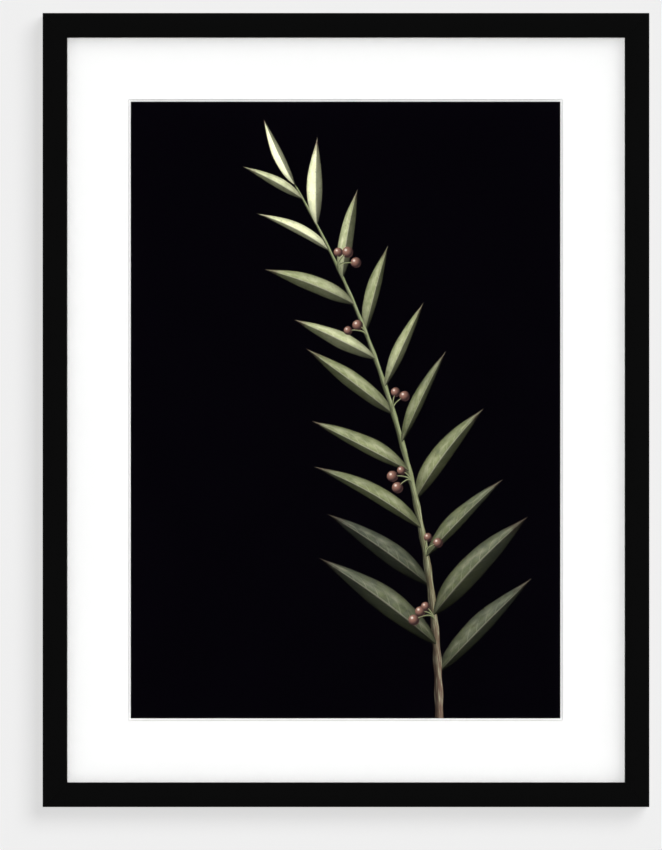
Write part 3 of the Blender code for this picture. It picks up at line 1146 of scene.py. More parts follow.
def dress(piece: bpy.types.Object, material: bpy.types.Material, slot: str, *nodes: str) -> None:
    """Finishes a new piece and makes it part of the frame.

    Args:
        piece: the new object.
        material: its finish.
        slot: the record's material slot that it shows.
        nodes: the CAD nodes that it stands for.
    """
    piece.data.materials.append(material)
    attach(piece, ROOT)
    if nodes:
        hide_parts(*nodes)
    log.info("%-22s %6d faces for %s", piece.name, len(piece.data.polygons), ", ".join(nodes) or slot)


def dress_node(node: str, material: bpy.types.Material) -> None:
    """Gives a CAD node that stays a better material.

    Args:
        node: its name.
        material: its finish.
    """
    mesh = bpy.data.objects[node].data
    mesh.materials.clear()
    mesh.materials.append(material)
    log.info("%-22s keeps its solid", node)


@dataclass
class Moulding:
    """Four mitred rails of one section, black in front and bare behind."""

    lip: float  # thickness of the wood in front of the glazing
    rebate: float  # how far the lip reaches over the glazing
    arris: float = 0.8 * MM
    sight_arris: float = 0.3 * MM
    rear_round: float = 0.5 * MM
    soft_edge: float = 0.25 * MM
    mitre_gap: float = 0.03 * MM  # of each rail to the joint's plane, at the surface
    mitre_depth: float = 0.15 * MM  # below the surface, where the two rails meet
    sprayed_rear: float = 5.0 * MM  # how far the lacquer reaches over the rear face
    sprayed_lip: float = 5.0 * MM  # and in behind the lip
    stations: int = 25  # along a rail

    def __post_init__(self) -> None:
        """Reads the frame's outline and depth from the rails."""
        self.outside = Box.of(*(f"rail_{side.word}" for side in Side))
        self.width = Box.of("rail_left").size.x

    def section(self) -> np.ndarray:
        """Draws the section, from the lacquer's edge on the rear outwards, forwards and round.

        Returns:
            Its insets and depths, (n, 2).
        """
        front, rear = self.outside.low.y, self.outside.high.y
        wall = self.width - self.rebate
        return rounded_outline([
            (self.sprayed_rear, rear, 0.0),
            (0.0, rear, self.rear_round),
            (0.0, front, self.arris),
            (self.width, front, self.sight_arris),
            (self.width, front + self.lip, self.soft_edge),
            (wall, front + self.lip, 0.0),
            (wall, rear, self.soft_edge),
        ])

    def rail(self, side: Side) -> bpy.types.Object:
        """A rail: its section carried along a line, each point as far as its own inset allows.

        Along the line, a point at inset i runs from -1 to 1 times half the rail's length less i. At
        both ends, the section steps inwards by the mitre's depth as it comes to the joint's plane.

        Args:
            side: of the frame.

        Returns:
            The rail, turned into its place.
        """
        size, centre = self.outside.size, self.outside.centre
        length, reach = (size.x, size.z / 2) if side.level else (size.z, size.x / 2)
        loop = closed(self.section())
        share = np.linspace(-1.0, 1.0, self.stations)
        share = np.concatenate([share[:1], share, share[-1:]])[None, :]
        at_joint = np.zeros_like(share)
        at_joint[:, [0, -1]] = 1.0
        inwards = inward_of(loop) * self.mitre_depth
        inset = loop[:, :1] + inwards[:, :1] * at_joint
        depth = loop[:, 1:] + inwards[:, 1:] * at_joint
        along = share * (length / 2 - inset - self.mitre_gap * (1.0 - at_joint))
        out = reach - inset
        turn = math.radians(side.value)
        x = centre.x + along * math.cos(turn) + out * math.sin(turn)
        z = centre.z - along * math.sin(turn) + out * math.cos(turn)
        points = grid_of(x, depth, z)
        uv = grid_of(along + side.value, run_of(loop)[:, None])
        skin = Skin(f"moulding_{side.word}")
        skin.add_grid(points, uv)
        for end in (0, -1):
            skin.add_cap(points[:-1, end], uv[:-1, end])
        return skin.build()

    def painted_run(self) -> float:
        """Measures the lacquer round the section, to where it ends behind the lip.

        Returns:
            The length, from the section's first point.
        """
        loop = self.section()
        on_lip = np.abs(loop[:, 1] - (self.outside.low.y + self.lip)) < self.soft_edge / 10
        corner = np.flatnonzero(on_lip)[0]
        return float(run_of(loop)[corner]) + self.sprayed_lip

    def build(self) -> None:
        """Makes and dresses the four rails."""
        finish = MouldingFinish(painted_to=self.painted_run()).material()
        for side in Side:
            dress(self.rail(side), finish, "moulding", f"rail_{side.word}")


@dataclass
class CornerNails:
    """V nails across the mitres, pressed in from behind until they are level with the wood."""

    proud: float = 0.03 * MM
    steel: float = 0.6 * MM
    wave: float = 0.25 * MM
    half_waves: int = 3
    stations: int = 15

    def nail(self, node: str, rear: float) -> bpy.types.Object:
        """A V-shaped strip carried along Y.

        Each leg's two sides are the lines z = 0 and z = steel, waved by a sine along the leg that
        swells over its first quarter. The inner side starts where it meets the other leg's, and the
        second leg is the first with x and z swapped.

        Args:
            node: the CAD nail that it stands for.
            rear: the depth of the wood's rear face.

        Returns:
            The nail.
        """
        box = Box.of(node)
        right = box.centre.x > 0
        upper = box.centre.z > Box.of("rail_left").centre.z
        leg = box.size.x
        along = np.linspace(0.0, leg, self.stations)
        ripple = self.wave * np.sin(along / leg * self.half_waves * np.pi) * smooth_step(along, 0.0, leg / 4)
        outer = grid_of(along, -ripple)
        inner = grid_of(along, self.steel - ripple)[along >= self.steel]
        level = np.concatenate([outer, inner[::-1]])
        outline = np.concatenate([level, level[::-1, ::-1]])
        x = (box.high.x - outline[:, 0]) if right else (box.low.x + outline[:, 0])
        z = (box.high.z - outline[:, 1]) if upper else (box.low.z + outline[:, 1])
        ends = [grid_of(x, depth, z) for depth in (box.low.y, rear + self.proud)]
        skin = Skin(node.replace("v_nail", "corner_nail"))
        skin.add_grid(np.stack([closed(end) for end in ends]))
        for end in ends:
            skin.add_cap(end)
        return skin.build(weld=1e-7)

    def build(self, finish: bpy.types.Material) -> None:
        """Makes and dresses all the nails.

        Args:
            finish: of them all.
        """
        rear = Box.of("rail_left").high.y
        for node in sorted(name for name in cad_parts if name.startswith("v_nail")):
            dress(self.nail(node, rear), finish, "bright_steel", node)


@dataclass
class WindowMat:
    """The white mat with its 45 degree bevel."""

    overlap: float = 5.0 * MM  # of the mat's rear over the print, all round
    aside: float = -0.38 * MM  # of the opening, which was cut by hand
    knife: float = 0.04 * MM  # radius of the cut's edges
    edge: float = 0.15 * MM  # radius of the board's rim

    def build(self) -> None:
        """A four-sided section carried round the window with mitred corners.

        A point at inset i from the board's edge is at half the board's size less i, each way, at
        every corner. Round the opening, every point is moved aside alike.
        """
        box = Box.of("window_mat")
        inset = (box.size.x - Box.of("art_print").size.x) / 2 + self.overlap
        section = rounded_outline([
            (0.0, box.low.y, self.edge),
            (0.0, box.high.y, self.edge),
            (inset, box.high.y, self.knife),
            (inset - box.size.y, box.low.y, self.knife),
        ], steps=4)
        loop = closed(section)
        sides = np.array([(-1, -1), (1, -1), (1, 1), (-1, 1), (-1, -1)])
        x = box.centre.x + sides[:, 0] * (box.size.x / 2 - loop[:, :1])
        z = box.centre.z + sides[:, 1] * (box.size.z / 2 - loop[:, :1])
        x = x + self.aside * (loop[:, :1] > inset / 2)
        skin = Skin("bevelled_mat")
        skin.add_grid(grid_of(x, loop[:, 1:], z))
        dress(skin.build(crease=20.0), MatBoardFinish(box.low.y).material(), "mat_board", "window_mat")


@dataclass
class Sprig:
    """The printed design: an arching leafy sprig with berries, in thin layers of ink.

    The stem is an arc of a circle that starts at the foot of the print, upright, and leans to the
    left. Leaves stand on it by turns to its right and left, shorter towards the tip, and berries hang
    by their stalks. Places and sizes are in millimetres from the print's centre, but for the ink's. A
    pair is a size at the stem's foot and one at its tip, or the least and the most of a draw.
    """

    centre: Vector
    front: float  # depth of the foremost ink
    paper: float  # depth of the paper's front
    stem_foot: tuple[float, float] = (76.0, -256.0)
    stem_radius: float = 880.0
    stem_turn: float = 30.0
    stem_half: tuple[float, float] = (3.6, 0.8)
    stem_knots: float = 0.12  # how much its width waves, over as many knots as leaves
    stem_level: float = 0.30
    stalk_half: tuple[float, float] = (0.75, 0.5)
    stalk_level: float = 0.93
    leaf_count: int = 18  # besides the one at the tip
    leaf_shares: tuple[float, float] = (0.09, 0.97)  # of the stem, where the side leaves start
    leaf_length: tuple[float, float] = (116.0, 62.0)
    leaf_growth: tuple[float, float] = (0.86, 1.10)  # drawn, of that length
    leaf_slimness: tuple[float, float] = (0.17, 0.23)  # drawn, width over length
    leaf_powers: tuple[float, float] = (0.8, 1.15)  # of u and of 1 - u, in the leaf's width
    leaf_widest: float = 0.41  # u where it is widest
    leaf_spread: tuple[float, float] = (52.0, 28.0)  # from the stem, in degrees
    leaf_sway: float = 6.0  # drawn, either way
    leaf_bend: tuple[float, float] = (0.03, 0.20)  # drawn, of the midrib at the leaf's tip
    leaf_turned: tuple[float, float] = (0.45, 0.95)  # drawn, width of the half that turns away
    berry_shares: tuple[float, ...] = (0.185, 0.30, 0.43, 0.56, 0.70, 0.83)
    berry_radii: tuple[float, float] = (3.4, 4.7)
    berry_reach: tuple[float, float] = (12.0, 17.0)  # drawn, from its root
    berry_spread: tuple[float, float] = (22.0, 34.0)  # of the first from the stem, and between two
    berry_sway: float = 6.0  # drawn, either way
    ink: float = 0.010 * MM
    seed: int = 11

    def on_stem(self, share: np.ndarray | float) -> tuple[np.ndarray, np.ndarray, np.ndarray]:
        """A place on the stem: x goes as the cosine of the turn so far, less 1, and z as its sine.

        Args:
            share: of the way from the foot to the tip.

        Returns:
            x, z and the stem's heading there.
        """
        turn = np.radians(self.stem_turn) * share
        foot_x, foot_z = self.stem_foot
        x = foot_x - self.stem_radius * (1.0 - np.cos(turn))
        z = foot_z + self.stem_radius * np.sin(turn)
        return x, z, np.pi / 2 + turn

    def lay(self, skin: Skin, x: np.ndarray, z: np.ndarray, rise: np.ndarray, level: float,
            uv: np.ndarray) -> None:
        """Lays one shape of ink: a flat back, and a front that rises from its rim.

        Args:
            skin: that the shape joins.
            x: across the print, (rows, columns), in millimetres.
            z: up the print.
            rise: of the front, from 0 at the rim to 1 for the ink's whole thickness.
            level: how far forwards the layer lies, from 0 at the paper to 1.
            uv: its place in the ink's pattern, (rows, columns, 2).
        """
        back = self.paper + (self.front + self.ink - self.paper) * level
        for depth in (back - self.ink * rise, back):
            skin.add_grid(grid_of(self.centre.x + x * MM, depth, self.centre.z + z * MM), uv)

    def band(self, skin: Skin, line: np.ndarray, half: np.ndarray, level: float, u: np.ndarray) -> None:
        """Lays a band along a line, pointed at both its ends.

        A point of the band lies v times the half width from the line, along the line's normal.

        Args:
            skin: that the band joins.
            line: (n, 2), in millimetres.
            half: the band's half width at each point.
            level: how far forwards it lies.
            u: its place in the ink's pattern at each point.
        """
        heading = np.gradient(line, axis=0)
        heading /= np.linalg.norm(heading, axis=1, keepdims=True)
        v = np.linspace(-1.0, 1.0, 7)[None, :]
        share = np.linspace(0.0, 1.0, len(line))[:, None]
        away = half[:, None] * ((share > 0.0) & (share < 1.0)) * v
        across = line[:, :1] - heading[:, 1:] * away
        up = line[:, 1:] + heading[:, :1] * away
        rise = (1.0 - v ** 4) * np.minimum(60.0 * share * (1.0 - share), 1.0)
        self.lay(skin, across, up, rise, level, grid_of(u[:, None], v))

    def stem(self) -> bpy.types.Object:
        """Draws the stem, with knots along it, and the berries' stalks.

        A stalk is a quadratic curve from the stem to the berry that first follows the stem.

        Returns:
            The piece.
        """
        share = np.linspace(0.0, 1.0, 120)
        x, z, _ = self.on_stem(share)
        knots = self.stem_knots * np.cos(share * self.leaf_count * 2 * np.pi) * (share < self.leaf_shares[1])
        half = np.interp(share, (0.0, 1.0), self.stem_half) * (1.0 + knots)
        skin = Skin("printed_stem")
        self.band(skin, grid_of(x, z), half, self.stem_level, share)
        step = np.linspace(0.0, 1.0, 16)
        half = np.interp(step, (0.0, 1.0), self.stalk_half)
        along_stem = (np.array(self.on_stem(0.5)[:2]) - np.array(self.on_stem(0.48)[:2])) * 0.8
        t = step[:, None]
        for root, end, _ in self.berry_plan():
            line = (1.0 - t) ** 2 * root + 2.0 * t * (1.0 - t) * (root + along_stem) + t ** 2 * end
            self.band(skin, line, half, self.stalk_level, 0.7 - 0.4 * step)
        return skin.build(weld=1e-7)

    def berry_plan(self) -> list[tuple[np.ndarray, np.ndarray, float]]:
        """Places the berries, two or three by each root, to the stem's left and right by turns.

        Returns:
            Each berry's root on the stem, its centre and its radius.
        """
        rng = np.random.default_rng(self.seed + 1)
        plan = []
        first, step = self.berry_spread
        for number, share in enumerate(self.berry_shares):
            x, z, heading = self.on_stem(share)
            side = 1.0 if number % 2 else -1.0
            for berry in range(rng.integers(2, 4)):
                sway = rng.uniform(-self.berry_sway, self.berry_sway)
                angle = heading - side * np.radians(first + step * berry + sway)
                reach = rng.uniform(*self.berry_reach)
                centre = np.array([x + reach * np.cos(angle), z + reach * np.sin(angle)])
                plan.append((np.array([x, z]), centre, rng.uniform(*self.berry_radii)))
        return plan

    def leaves(self) -> bpy.types.Object:
        """Draws the leaves, each a bent lens.

        At u along the midrib, the half width goes as a power of u times a power of 1 - u. It is less
        on the side that turns away, and waves slowly along the margin. The midrib leaves its straight
        line by the bend times u squared. Every third leaf lies behind the stem, and the others in front.

        Returns:
            The piece.
        """
        rng = np.random.default_rng(self.seed)
        u = ((1.0 - np.cos(np.linspace(0.0, np.pi, 72))) / 2)[:, None]
        v = np.linspace(-1.0, 1.0, 13)[None, :]
        start, end = self.leaf_powers
        lens = u ** start * (1.0 - u) ** end / (self.leaf_widest ** start * (1.0 - self.leaf_widest) ** end)
        rise = (1.0 - v ** 4) * np.minimum(16.0 * u * (1.0 - u), 1.0) ** 0.5
        skin = Skin("printed_leaves")
        for number in range(self.leaf_count + 1):
            last = number == self.leaf_count
            way = number / (self.leaf_count - 1)
            share = 1.0 if last else np.interp(way, (0.0, 1.0), self.leaf_shares)
            side = 1.0 if number % 2 else -1.0
            x, z, heading = self.on_stem(share)
            spread = 0.0
            if not last:
                sway = rng.uniform(-self.leaf_sway, self.leaf_sway)
                spread = side * np.radians(np.interp(share, (0.0, 1.0), self.leaf_spread) + sway)
            length = np.interp(share, (0.0, 1.0), self.leaf_length) * rng.uniform(*self.leaf_growth)
            width = length * rng.uniform(*self.leaf_slimness)
            bend = side * rng.uniform(*self.leaf_bend)
            turned_half = rng.uniform(*self.leaf_turned)
            margin = 1.0 + 0.03 * np.sin(u * rng.uniform(8.0, 14.0) + rng.uniform(0.0, 6.0))
            half = width / 2 * lens * margin * np.where(v * side > 0, turned_half, 1.0)
            across = half * v + bend * length * u ** 2
            along = u * length
            turn = heading + spread
            order = number / self.leaf_count
            level = 0.02 + 0.25 * order if number % 3 == 0 and not last else 0.40 + 0.50 * order
            self.lay(
                skin,
                x + along * np.cos(turn) - across * np.sin(turn),
                z + along * np.sin(turn) + across * np.cos(turn),
                rise,
                level,
                grid_of(u + 2.0 * number, -side * v),
            )
        return skin.build(weld=1e-7)

    def berries(self) -> bpy.types.Object:
        """Draws the berries, each a disc in rings about its centre.

        At the share r of the radius and the angle t, a point lies r cos t across and r sin t up, and
        the ink rises by 1 less r squared.

        Returns:
            The piece.
        """
        reach = np.linspace(0.0, 1.0, 6)[:, None]
        angle = np.linspace(0.0, 2 * np.pi, 33)[None, :]
        right, up = reach * np.cos(angle), reach * np.sin(angle)
        right[:, -1], up[:, -1] = right[:, 0], up[:, 0]
        rise = 1.0 - reach ** 2
        skin = Skin("printed_berries")
        for _, (x, z), radius in self.berry_plan():
            self.lay(skin, x + right * radius, z + up * radius, rise, 1.0, grid_of(right, up))
        return skin.build(weld=1e-7)

    def build(self) -> None:
        """Makes and dresses the layers of ink."""
        dress(self.stem(), StemInk().material(), "print_paper")
        dress(self.leaves(), LeafInk(self.leaf_count).material(), "print_paper")
        dress(self.berries(), BerryInk().material(), "print_paper")


@dataclass
class Sheets:
    """The flat sheets in the rebate: glazing, print, mount board and backing board."""

    rim: float = 0.25 * MM  # radius of the stiff sheets' rims
    paper_rim: float = 0.08 * MM
    ink_room: float = 0.09 * MM  # in front of the paper, for the layers of ink

    def build(self) -> None:
        """Makes and dresses the sheets, and prints the paper."""
        dress(slab("picture_glass", Box.of("glazing"), self.rim), GlassFinish().material(),
              "glazing", "glazing")
        sheet = Box.of("art_print")
        paper = Box(sheet.low + Vector((0.0, self.ink_room, 0.0)), sheet.high)
        dress(slab("printed_sheet", paper, self.paper_rim), GroundInk().material(),
              "print_paper", "art_print")
        Sprig(sheet.centre, sheet.low.y, paper.low.y).build()
        dress(slab("fibre_back", Box.of("backing_board"), self.rim), FibreBoardFinish().material(),
              "backing_board", "backing_board")
        dress_node("mount_board", BOARD.material())
        tape = LINEN.material()
        for side in ("left", "right"):
            dress_node(f"print_hinge_{side}", tape)


@dataclass
class RetainingTabs:
    """Blackened steel points, driven into the rebate's wall and sprung on to the backing board."""

    spring: float = 0.35 * MM  # lift of the tab's free end
    point: float = 3.0 * MM  # length over which the tab widens
    buried: float = 1 / 3  # share of its length in the wood
    stations: int = 28

    def tab(self, node: str, side: Side) -> bpy.types.Object:
        """A blade carried inwards from its point in the wood.

        From its tip in the wood the half width grows in a line over the point's length. Over the last
        half width it closes as the root of 1 less the cube of the share of the way. Outside the wood
        the blade rises by the spring times the square of the share of the way.

        Args:
            node: the CAD tab that it stands for.
            side: of the frame that holds it.

        Returns:
            The tab.
        """
        box = Box.of(node)
        length, width = (box.size.z, box.size.x) if side.level else (box.size.x, box.size.z)
        half = width / 2
        share = (1.0 - np.cos(np.linspace(0.0, np.pi, self.stations)))[:, None] / 2
        along = share * length
        close = np.clip((along - (length - half)) / half, 0.0, 1.0)
        reach = np.minimum(along / self.point, 1.0) * half * np.sqrt(np.maximum(1.0 - close ** 3, 0.0))
        across = np.linspace(-1.0, 1.0, 7) * reach
        lift = self.spring * np.clip((share - self.buried) / (1.0 - self.buried), 0.0, 1.0) ** 2
        run = {
            Side.TOP: box.high.z - along,
            Side.RIGHT: box.high.x - along,
            Side.BOTTOM: box.low.z + along,
            Side.LEFT: box.low.x + along,
        }[side]
        x, z = (box.centre.x + across, run) if side.level else (run, box.centre.z + across)
        skin = Skin(node.replace("tab", "retaining_tab"))
        skin.add_plate(grid_of(x, box.low.y + lift, z), grid_of(x, box.high.y + lift, z))
        return skin.build()

    def build(self, finish: bpy.types.Material) -> None:
        """Makes and dresses all the tabs.

        Args:
            finish: of them all.
        """
        for side in Side:
            for node in sorted(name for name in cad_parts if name.startswith(f"tab_{side.word}")):
                dress(self.tab(node, side), finish, "black_steel", node)


@dataclass
class SawtoothHanger:
    """A pressed steel strip with teeth, its middle raised off the rail, and its two screws."""

    teeth: int = 9
    pitch: float = 3.8 * MM
    tooth: float = 1.6 * MM
    steel: float = 0.8 * MM
    slope: float = 3.0 * MM  # length of each bend down to the rail
    flat_run: float = 0.3 * MM  # from the last tooth to the bend
    landing: float = 0.5 * MM  # from the bend to the flat end
    edge: float = 0.12 * MM

    def plate(self) -> bpy.types.Object:
        """The strip as a grid between its foot and its top, one face behind the other.

        Along the strip, the foot is a triangle wave over the teeth and the round ends are half
        circles. The strip rises by a smooth step between each flat end and the raised middle.

        Returns:
            The strip.
        """
        box = Box.of("hanger_plate")
        radius = box.size.z / 2
        toothed = self.teeth * self.pitch / 2
        raised = toothed + self.flat_run
        flat = raised + self.slope
        end = box.size.x / 2 - radius
        corners = np.arange(2 * self.teeth + 1) * self.pitch / 2 - toothed
        bend = np.linspace(raised, flat, 9)
        around = end + radius * np.sin(np.linspace(0.0, np.pi / 2, 15))
        half_line = np.concatenate([bend, [flat + self.landing], around])
        x = np.concatenate([-half_line[::-1], corners, half_line])[:, None]
        phase = (x / self.pitch + self.teeth / 2) % 1.0
        wave = self.tooth * (1.0 - np.abs(2.0 * phase - 1.0)) * (np.abs(x) <= toothed + 1e-9)
        round_end = np.clip((np.abs(x) - end) / radius, 0.0, 1.0)
        half = radius * np.sqrt(np.maximum(1.0 - round_end ** 2, 0.0))
        foot, top = box.centre.z - half + wave, box.centre.z + half
        z = foot + (top - foot) * np.linspace(0.0, 1.0, 6)
        front = box.high.y - self.steel - (box.size.y - self.steel) * smooth_step(np.abs(x), raised, flat)
        skin = Skin("sawtooth_hanger")
        skin.add_plate(grid_of(x, front, z), grid_of(x, front + self.steel, z))
        piece = skin.build()
        bevel = piece.modifiers.new("edges", "BEVEL")
        bevel.width = self.edge
        bevel.segments = 2
        bevel.limit_method = "ANGLE"
        bevel.angle_limit = math.radians(50.0)
        return piece

    def build(self, finish: bpy.types.Material) -> None:
        """Makes and dresses the strip and its screws.

        Args:
            finish: of all three.
        """
        dress(self.plate(), finish, "bright_steel", "hanger_plate")
        for side in ("left", "right"):
            PanScrew(f"hanger_screw_{side}").build(finish)


@dataclass
class PanScrew:
    """A pan-head wood screw with a cross recess."""

    node: str
    head: float = 1.5 * MM
    rim: float = 0.35 * MM  # height of the head's straight side
    shank: float = 1.4 * MM  # radius
    tip: float = 2.5 * MM
    slot_width: float = 0.62 * MM
    slot_span: float = 2.9 * MM
    slot_depth: float = 0.85 * MM

    def recess(self, across: np.ndarray, up: np.ndarray) -> np.ndarray:
        """Cuts the cross: the deeper of two crossed slots with sloping ends and sides.

        Args:
            across: places from the head's centre, across.
            up: and up.

        Returns:
            The depth there.
        """
        def arm(long: np.ndarray, short: np.ndarray) -> np.ndarray:
            """One slot: a smooth step down at its sides, times one at its ends."""
            sides = 1.0 - smooth_step(np.abs(short), self.slot_width * 0.40, self.slot_width * 0.62)
            return sides * (1.0 - smooth_step(np.abs(long), self.slot_span * 0.18, self.slot_span * 0.5))

        return self.slot_depth * np.maximum(arm(across, up), arm(up, across))

    def build(self, finish: bpy.types.Material) -> None:
        """Turns and dresses the screw: a low dome, a short rim, the shank and its point.

        Args:
            finish: of the whole screw.
        """
        box = Box.of(self.node)
        radius = box.size.x / 2
        length = box.size.y - self.head
        crown = self.head - self.rim
        turn = np.linspace(0.0, np.pi / 2, 9)
        profile = np.concatenate([
            grid_of(np.linspace(0.0, radius - crown, 26)[:-1], self.head),
            grid_of(radius - crown + crown * np.sin(turn), self.rim + crown * np.cos(turn)),
            [(radius, 0.0), (self.shank, 0.0), (self.shank, self.tip - length), (0.0, -length)],
        ])
        seat = Vector((box.centre.x, box.high.y - self.head, box.centre.z))
        name = self.node.replace("hanger_screw", "pan_screw")
        dress(turned(name, profile, seat, sides=96, relief=self.recess), finish, "bright_steel", self.node)


@dataclass
class WallBumper:
    """A soft bumper at the frame's foot: a disc with a rounded rim and a shallow dimple."""

    node: str
    crown: float = 1.6 * MM
    dimple: float = 0.25 * MM

    def build(self, finish: bpy.types.Material) -> None:
        """Turns and dresses the disc, with a dimple inside a flat ring that meets the wall.

        Args:
            finish: of the whole bumper.
        """
        box = Box.of(self.node)
        radius, height = box.size.x / 2, box.size.y
        turn = np.linspace(0.0, np.pi / 2, 13)
        inner = radius - self.crown
        hollow = np.linspace(0.0, inner * 0.6, 12)
        sunk = self.dimple * (1.0 - smooth_step(hollow, 0.0, inner * 0.6))
        profile = np.concatenate([
            grid_of(hollow, height - sunk),
            grid_of(inner + self.crown * np.sin(turn), height - self.crown * (1.0 - np.cos(turn))),
            [(radius, 0.0), (0.0, 0.0)],
        ])
        seat = Vector((box.centre.x, box.low.y, box.centre.z))
        piece = turned(self.node.replace("bumper", "wall_bumper"), profile, seat, sides=64)
        dress(piece, finish, "bumper_rubber", self.node)


# ---------------------------------------------------------------- studio


class Reach(Enum):
    """What a lamp lights, and how its list of the backdrop's surfaces is then read."""

    BACKDROP = "INCLUDE"
    OBJECT = "EXCLUDE"


@dataclass(frozen=True)
class Lamp:
    """A far, soft light that only lays light and shade, and isn't mirrored in gloss."""

    name: str
    travels: Vector
    spread: float  # seen width, in degrees
    light: float  # on a surface that it meets squarely, in watts a square metre
    reach: Reach

    def hang(self, backdrop: Sequence[bpy.types.Object]) -> None:
        """Adds the light to the scene.

        Args:
            backdrop: the surfaces that a lamp lights alone, or leaves dark.
        """
        data = bpy.data.lights.new(self.name, "SUN")
        data.energy = self.light
        data.angle = math.radians(self.spread)
        lamp = bpy.data.objects.new(self.name, data)
        lamp.rotation_mode = "QUATERNION"
        lamp.rotation_quaternion = self.travels.to_track_quat("-Z", "Y")
        lamp.visible_glossy = False
        bpy.context.scene.collection.objects.link(lamp)
        lit = bpy.data.collections.new(f"{self.name}_reach")
        for number, surface in enumerate(backdrop):
            lit.objects.link(surface)
            lit.collection_objects[number].light_linking.link_state = self.reach.value
        lamp.light_linking.receiver_collection = lit


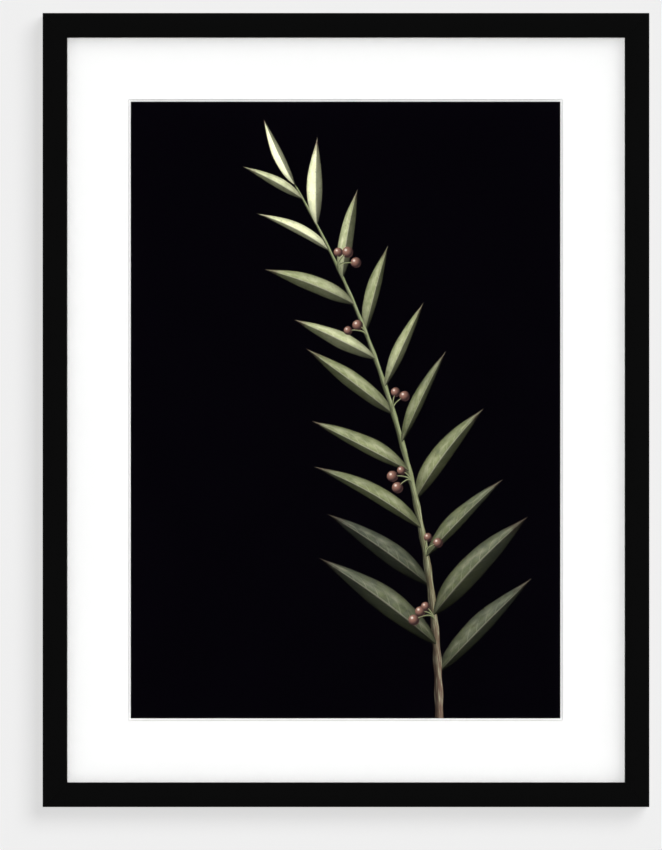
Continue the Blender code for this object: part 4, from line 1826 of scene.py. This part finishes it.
@dataclass
class Studio:
    """A pale wall and floor, soft light from the upper right, and a camera straight in front."""

    wall_behind: float = 0.4 * MM
    floor_below: float = 120.0 * MM
    wall_size: tuple[float, float] = (4.4, 3.4)
    floor_size: float = 9.0
    seen_height: float = 691.9 * MM  # that the camera takes in at the moulding's front
    lens: float = 400.0
    sensor: float = 36.0
    off_centre: float = 12.2 * MM  # of the camera, to the left and down
    paint: Colour = (0.80, 0.80, 0.80)
    glow: float = 0.672  # the even part of the backdrop's light, as seen
    sky_seen: float = 0.871  # the surroundings' brightness to the camera
    sky_light: float = 0.02  # and as light on the object
    sky_mirrored: tuple[float, float] = (0.42, 0.92)  # and in gloss, from below and from above

    def backdrop(self, name: str, corners: np.ndarray, one_sided: bool) -> bpy.types.Object:
        """A flat stage surface that takes shadows and gives no light back to the object.

        Args:
            name: of the surface.
            corners: its four corners, (4, 3), anticlockwise from its seen side.
            one_sided: whether it can be seen through from behind.

        Returns:
            The surface.
        """
        mesh = bpy.data.meshes.new(name)
        mesh.from_pydata(corners.tolist(), [], [(0, 1, 2, 3)])
        material = bpy.data.materials.new(name)
        material.use_nodes = True
        tree = material.node_tree
        g = Graph(tree)
        tree.nodes.remove(tree.nodes["Principled BSDF"])
        mottle = g.noise(g.place(), 90.0, 4.0)
        colour = g.blend(mottle, self.paint, darker(self.paint, 0.99))
        lit = g.node("ShaderNodeBsdfDiffuse", {"Color": colour})
        even = g.node("ShaderNodeEmission", {"Color": (1.0, 1.0, 1.0), "Strength": self.glow})
        painted = g.node("ShaderNodeAddShader", {0: lit, 1: even})
        behind = g.node("ShaderNodeNewGeometry", {}, "Backfacing") if one_sided else 0.0
        clear = g.node("ShaderNodeBsdfTransparent", {})
        mixed = g.node("ShaderNodeMixShader", {0: behind, 1: painted, 2: clear})
        g.feed(tree.nodes["Material Output"].inputs["Surface"], mixed)
        mesh.materials.append(material)
        surface = bpy.data.objects.new(name, mesh)
        surface.visible_glossy = False
        surface.visible_diffuse = False
        surface.visible_shadow = not one_sided
        bpy.context.scene.collection.objects.link(surface)
        return surface

    def surfaces(self, outside: Box) -> list[bpy.types.Object]:
        """Makes the wall behind the frame and the floor below it.

        Args:
            outside: the frame's box.

        Returns:
            The two stage surfaces.
        """
        floor = outside.low.z - self.floor_below
        half, high = self.wall_size[0] / 2, floor + self.wall_size[1]
        back = self.wall_behind
        wall = np.array([(-half, back, floor), (half, back, floor), (half, back, high), (-half, back, high)])
        far = self.floor_size / 2
        ground = np.array([(-far, -far, floor), (far, -far, floor), (far, far, floor), (-far, far, floor)])
        return [
            self.backdrop("studio_wall", wall, True),
            self.backdrop("studio_floor", ground, False),
        ]

    def world(self) -> None:
        """Pale surroundings: bright to the eye and in gloss, weak as light, and black in front.

        In gloss, the surroundings are black within about 50 degrees of the way the picture faces,
        as if a black card stood there, and brighten smoothly past that.
        """
        world = bpy.data.worlds.new("studio_surroundings")
        bpy.context.scene.world = world
        world.use_nodes = True
        world.cycles.sampling_method = "NONE"
        g = Graph(world.node_tree)
        x, y, z = g.parts(g.node("ShaderNodeTexCoord", {}, "Generated"))
        past_card = g.smooth(y, -0.62, 0.10)
        mirrored = past_card * g.between(g.smooth(z, -0.7, 0.8), *self.sky_mirrored)
        path = g.add("ShaderNodeLightPath")
        seen = Signal(g, path.outputs["Is Camera Ray"])
        gloss = Signal(g, path.outputs["Is Glossy Ray"])
        strength = g.between(seen, g.between(gloss, self.sky_light, mirrored), self.sky_seen)
        shader = world.node_tree.nodes["Background"]
        g.feed(shader.inputs["Color"], (1.0, 1.0, 1.0))
        g.feed(shader.inputs["Strength"], strength)

    def lamps(self, backdrop: Sequence[bpy.types.Object]) -> None:
        """Hangs the lights: one square in front, keys from the upper right, and soft ones for the rest.

        Args:
            backdrop: the stage surfaces.
        """
        lamps = (
            Lamp("backdrop_key", Vector((-0.52, 1.0, -0.54)), spread=34.0, light=0.89, reach=Reach.BACKDROP),
            Lamp("front_fill", Vector((0.02, 1.0, -0.02)), spread=3.0, light=2.12, reach=Reach.OBJECT),
            Lamp("object_key", Vector((-1.2, 1.0, -1.25)), spread=55.0, light=0.89, reach=Reach.OBJECT),
            Lamp("ambient", Vector((0.0, 1.0, 0.0)), spread=178.0, light=1.85, reach=Reach.OBJECT),
            Lamp("rear_fill", Vector((0.35, -1.0, -0.45)), spread=80.0, light=2.2, reach=Reach.OBJECT),
        )
        for lamp in lamps:
            lamp.hang(backdrop)

    def camera(self, outside: Box) -> None:
        """Adds the camera, square to the picture and a little to the left of and below its middle.

        Args:
            outside: the frame's box.
        """
        data = bpy.data.cameras.new("camera")
        data.lens = self.lens
        data.sensor_width = self.sensor
        data.sensor_fit = "AUTO"
        distance = self.seen_height * self.lens / self.sensor
        camera = bpy.data.objects.new("camera", data)
        camera.location.x = outside.centre.x - self.off_centre
        camera.location.y = outside.low.y - distance
        camera.location.z = outside.centre.z - self.off_centre
        camera.rotation_euler = (math.pi / 2, 0.0, 0.0)
        bpy.context.scene.collection.objects.link(camera)
        bpy.context.scene.camera = camera

    def build(self, outside: Box) -> None:
        """Sets up the whole studio.

        Args:
            outside: the frame's box.
        """
        backdrop = self.surfaces(outside)
        self.world()
        self.lamps(backdrop)
        self.camera(outside)
        bpy.context.scene.view_settings.view_transform = "Standard"
        log.info("studio ready")


# ---------------------------------------------------------------- main


def main() -> None:
    """Builds the pieces in order, from the moulding back to the wall."""
    logging.basicConfig(level=logging.INFO, format="%(message)s")
    zinc = ZINC_PLATE.material()
    rubber = RUBBER.material()
    moulding = Moulding(lip=6.0 * MM, rebate=7.0 * MM)
    moulding.build()
    CornerNails().build(zinc)
    WindowMat().build()
    Sheets().build()
    RetainingTabs().build(BLACK_STEEL.material())
    SawtoothHanger().build(zinc)
    for side in ("left", "right"):
        WallBumper(f"bumper_{side}").build(rubber)
    Studio().build(moulding.outside)


if __name__ == "__main__":
    main()
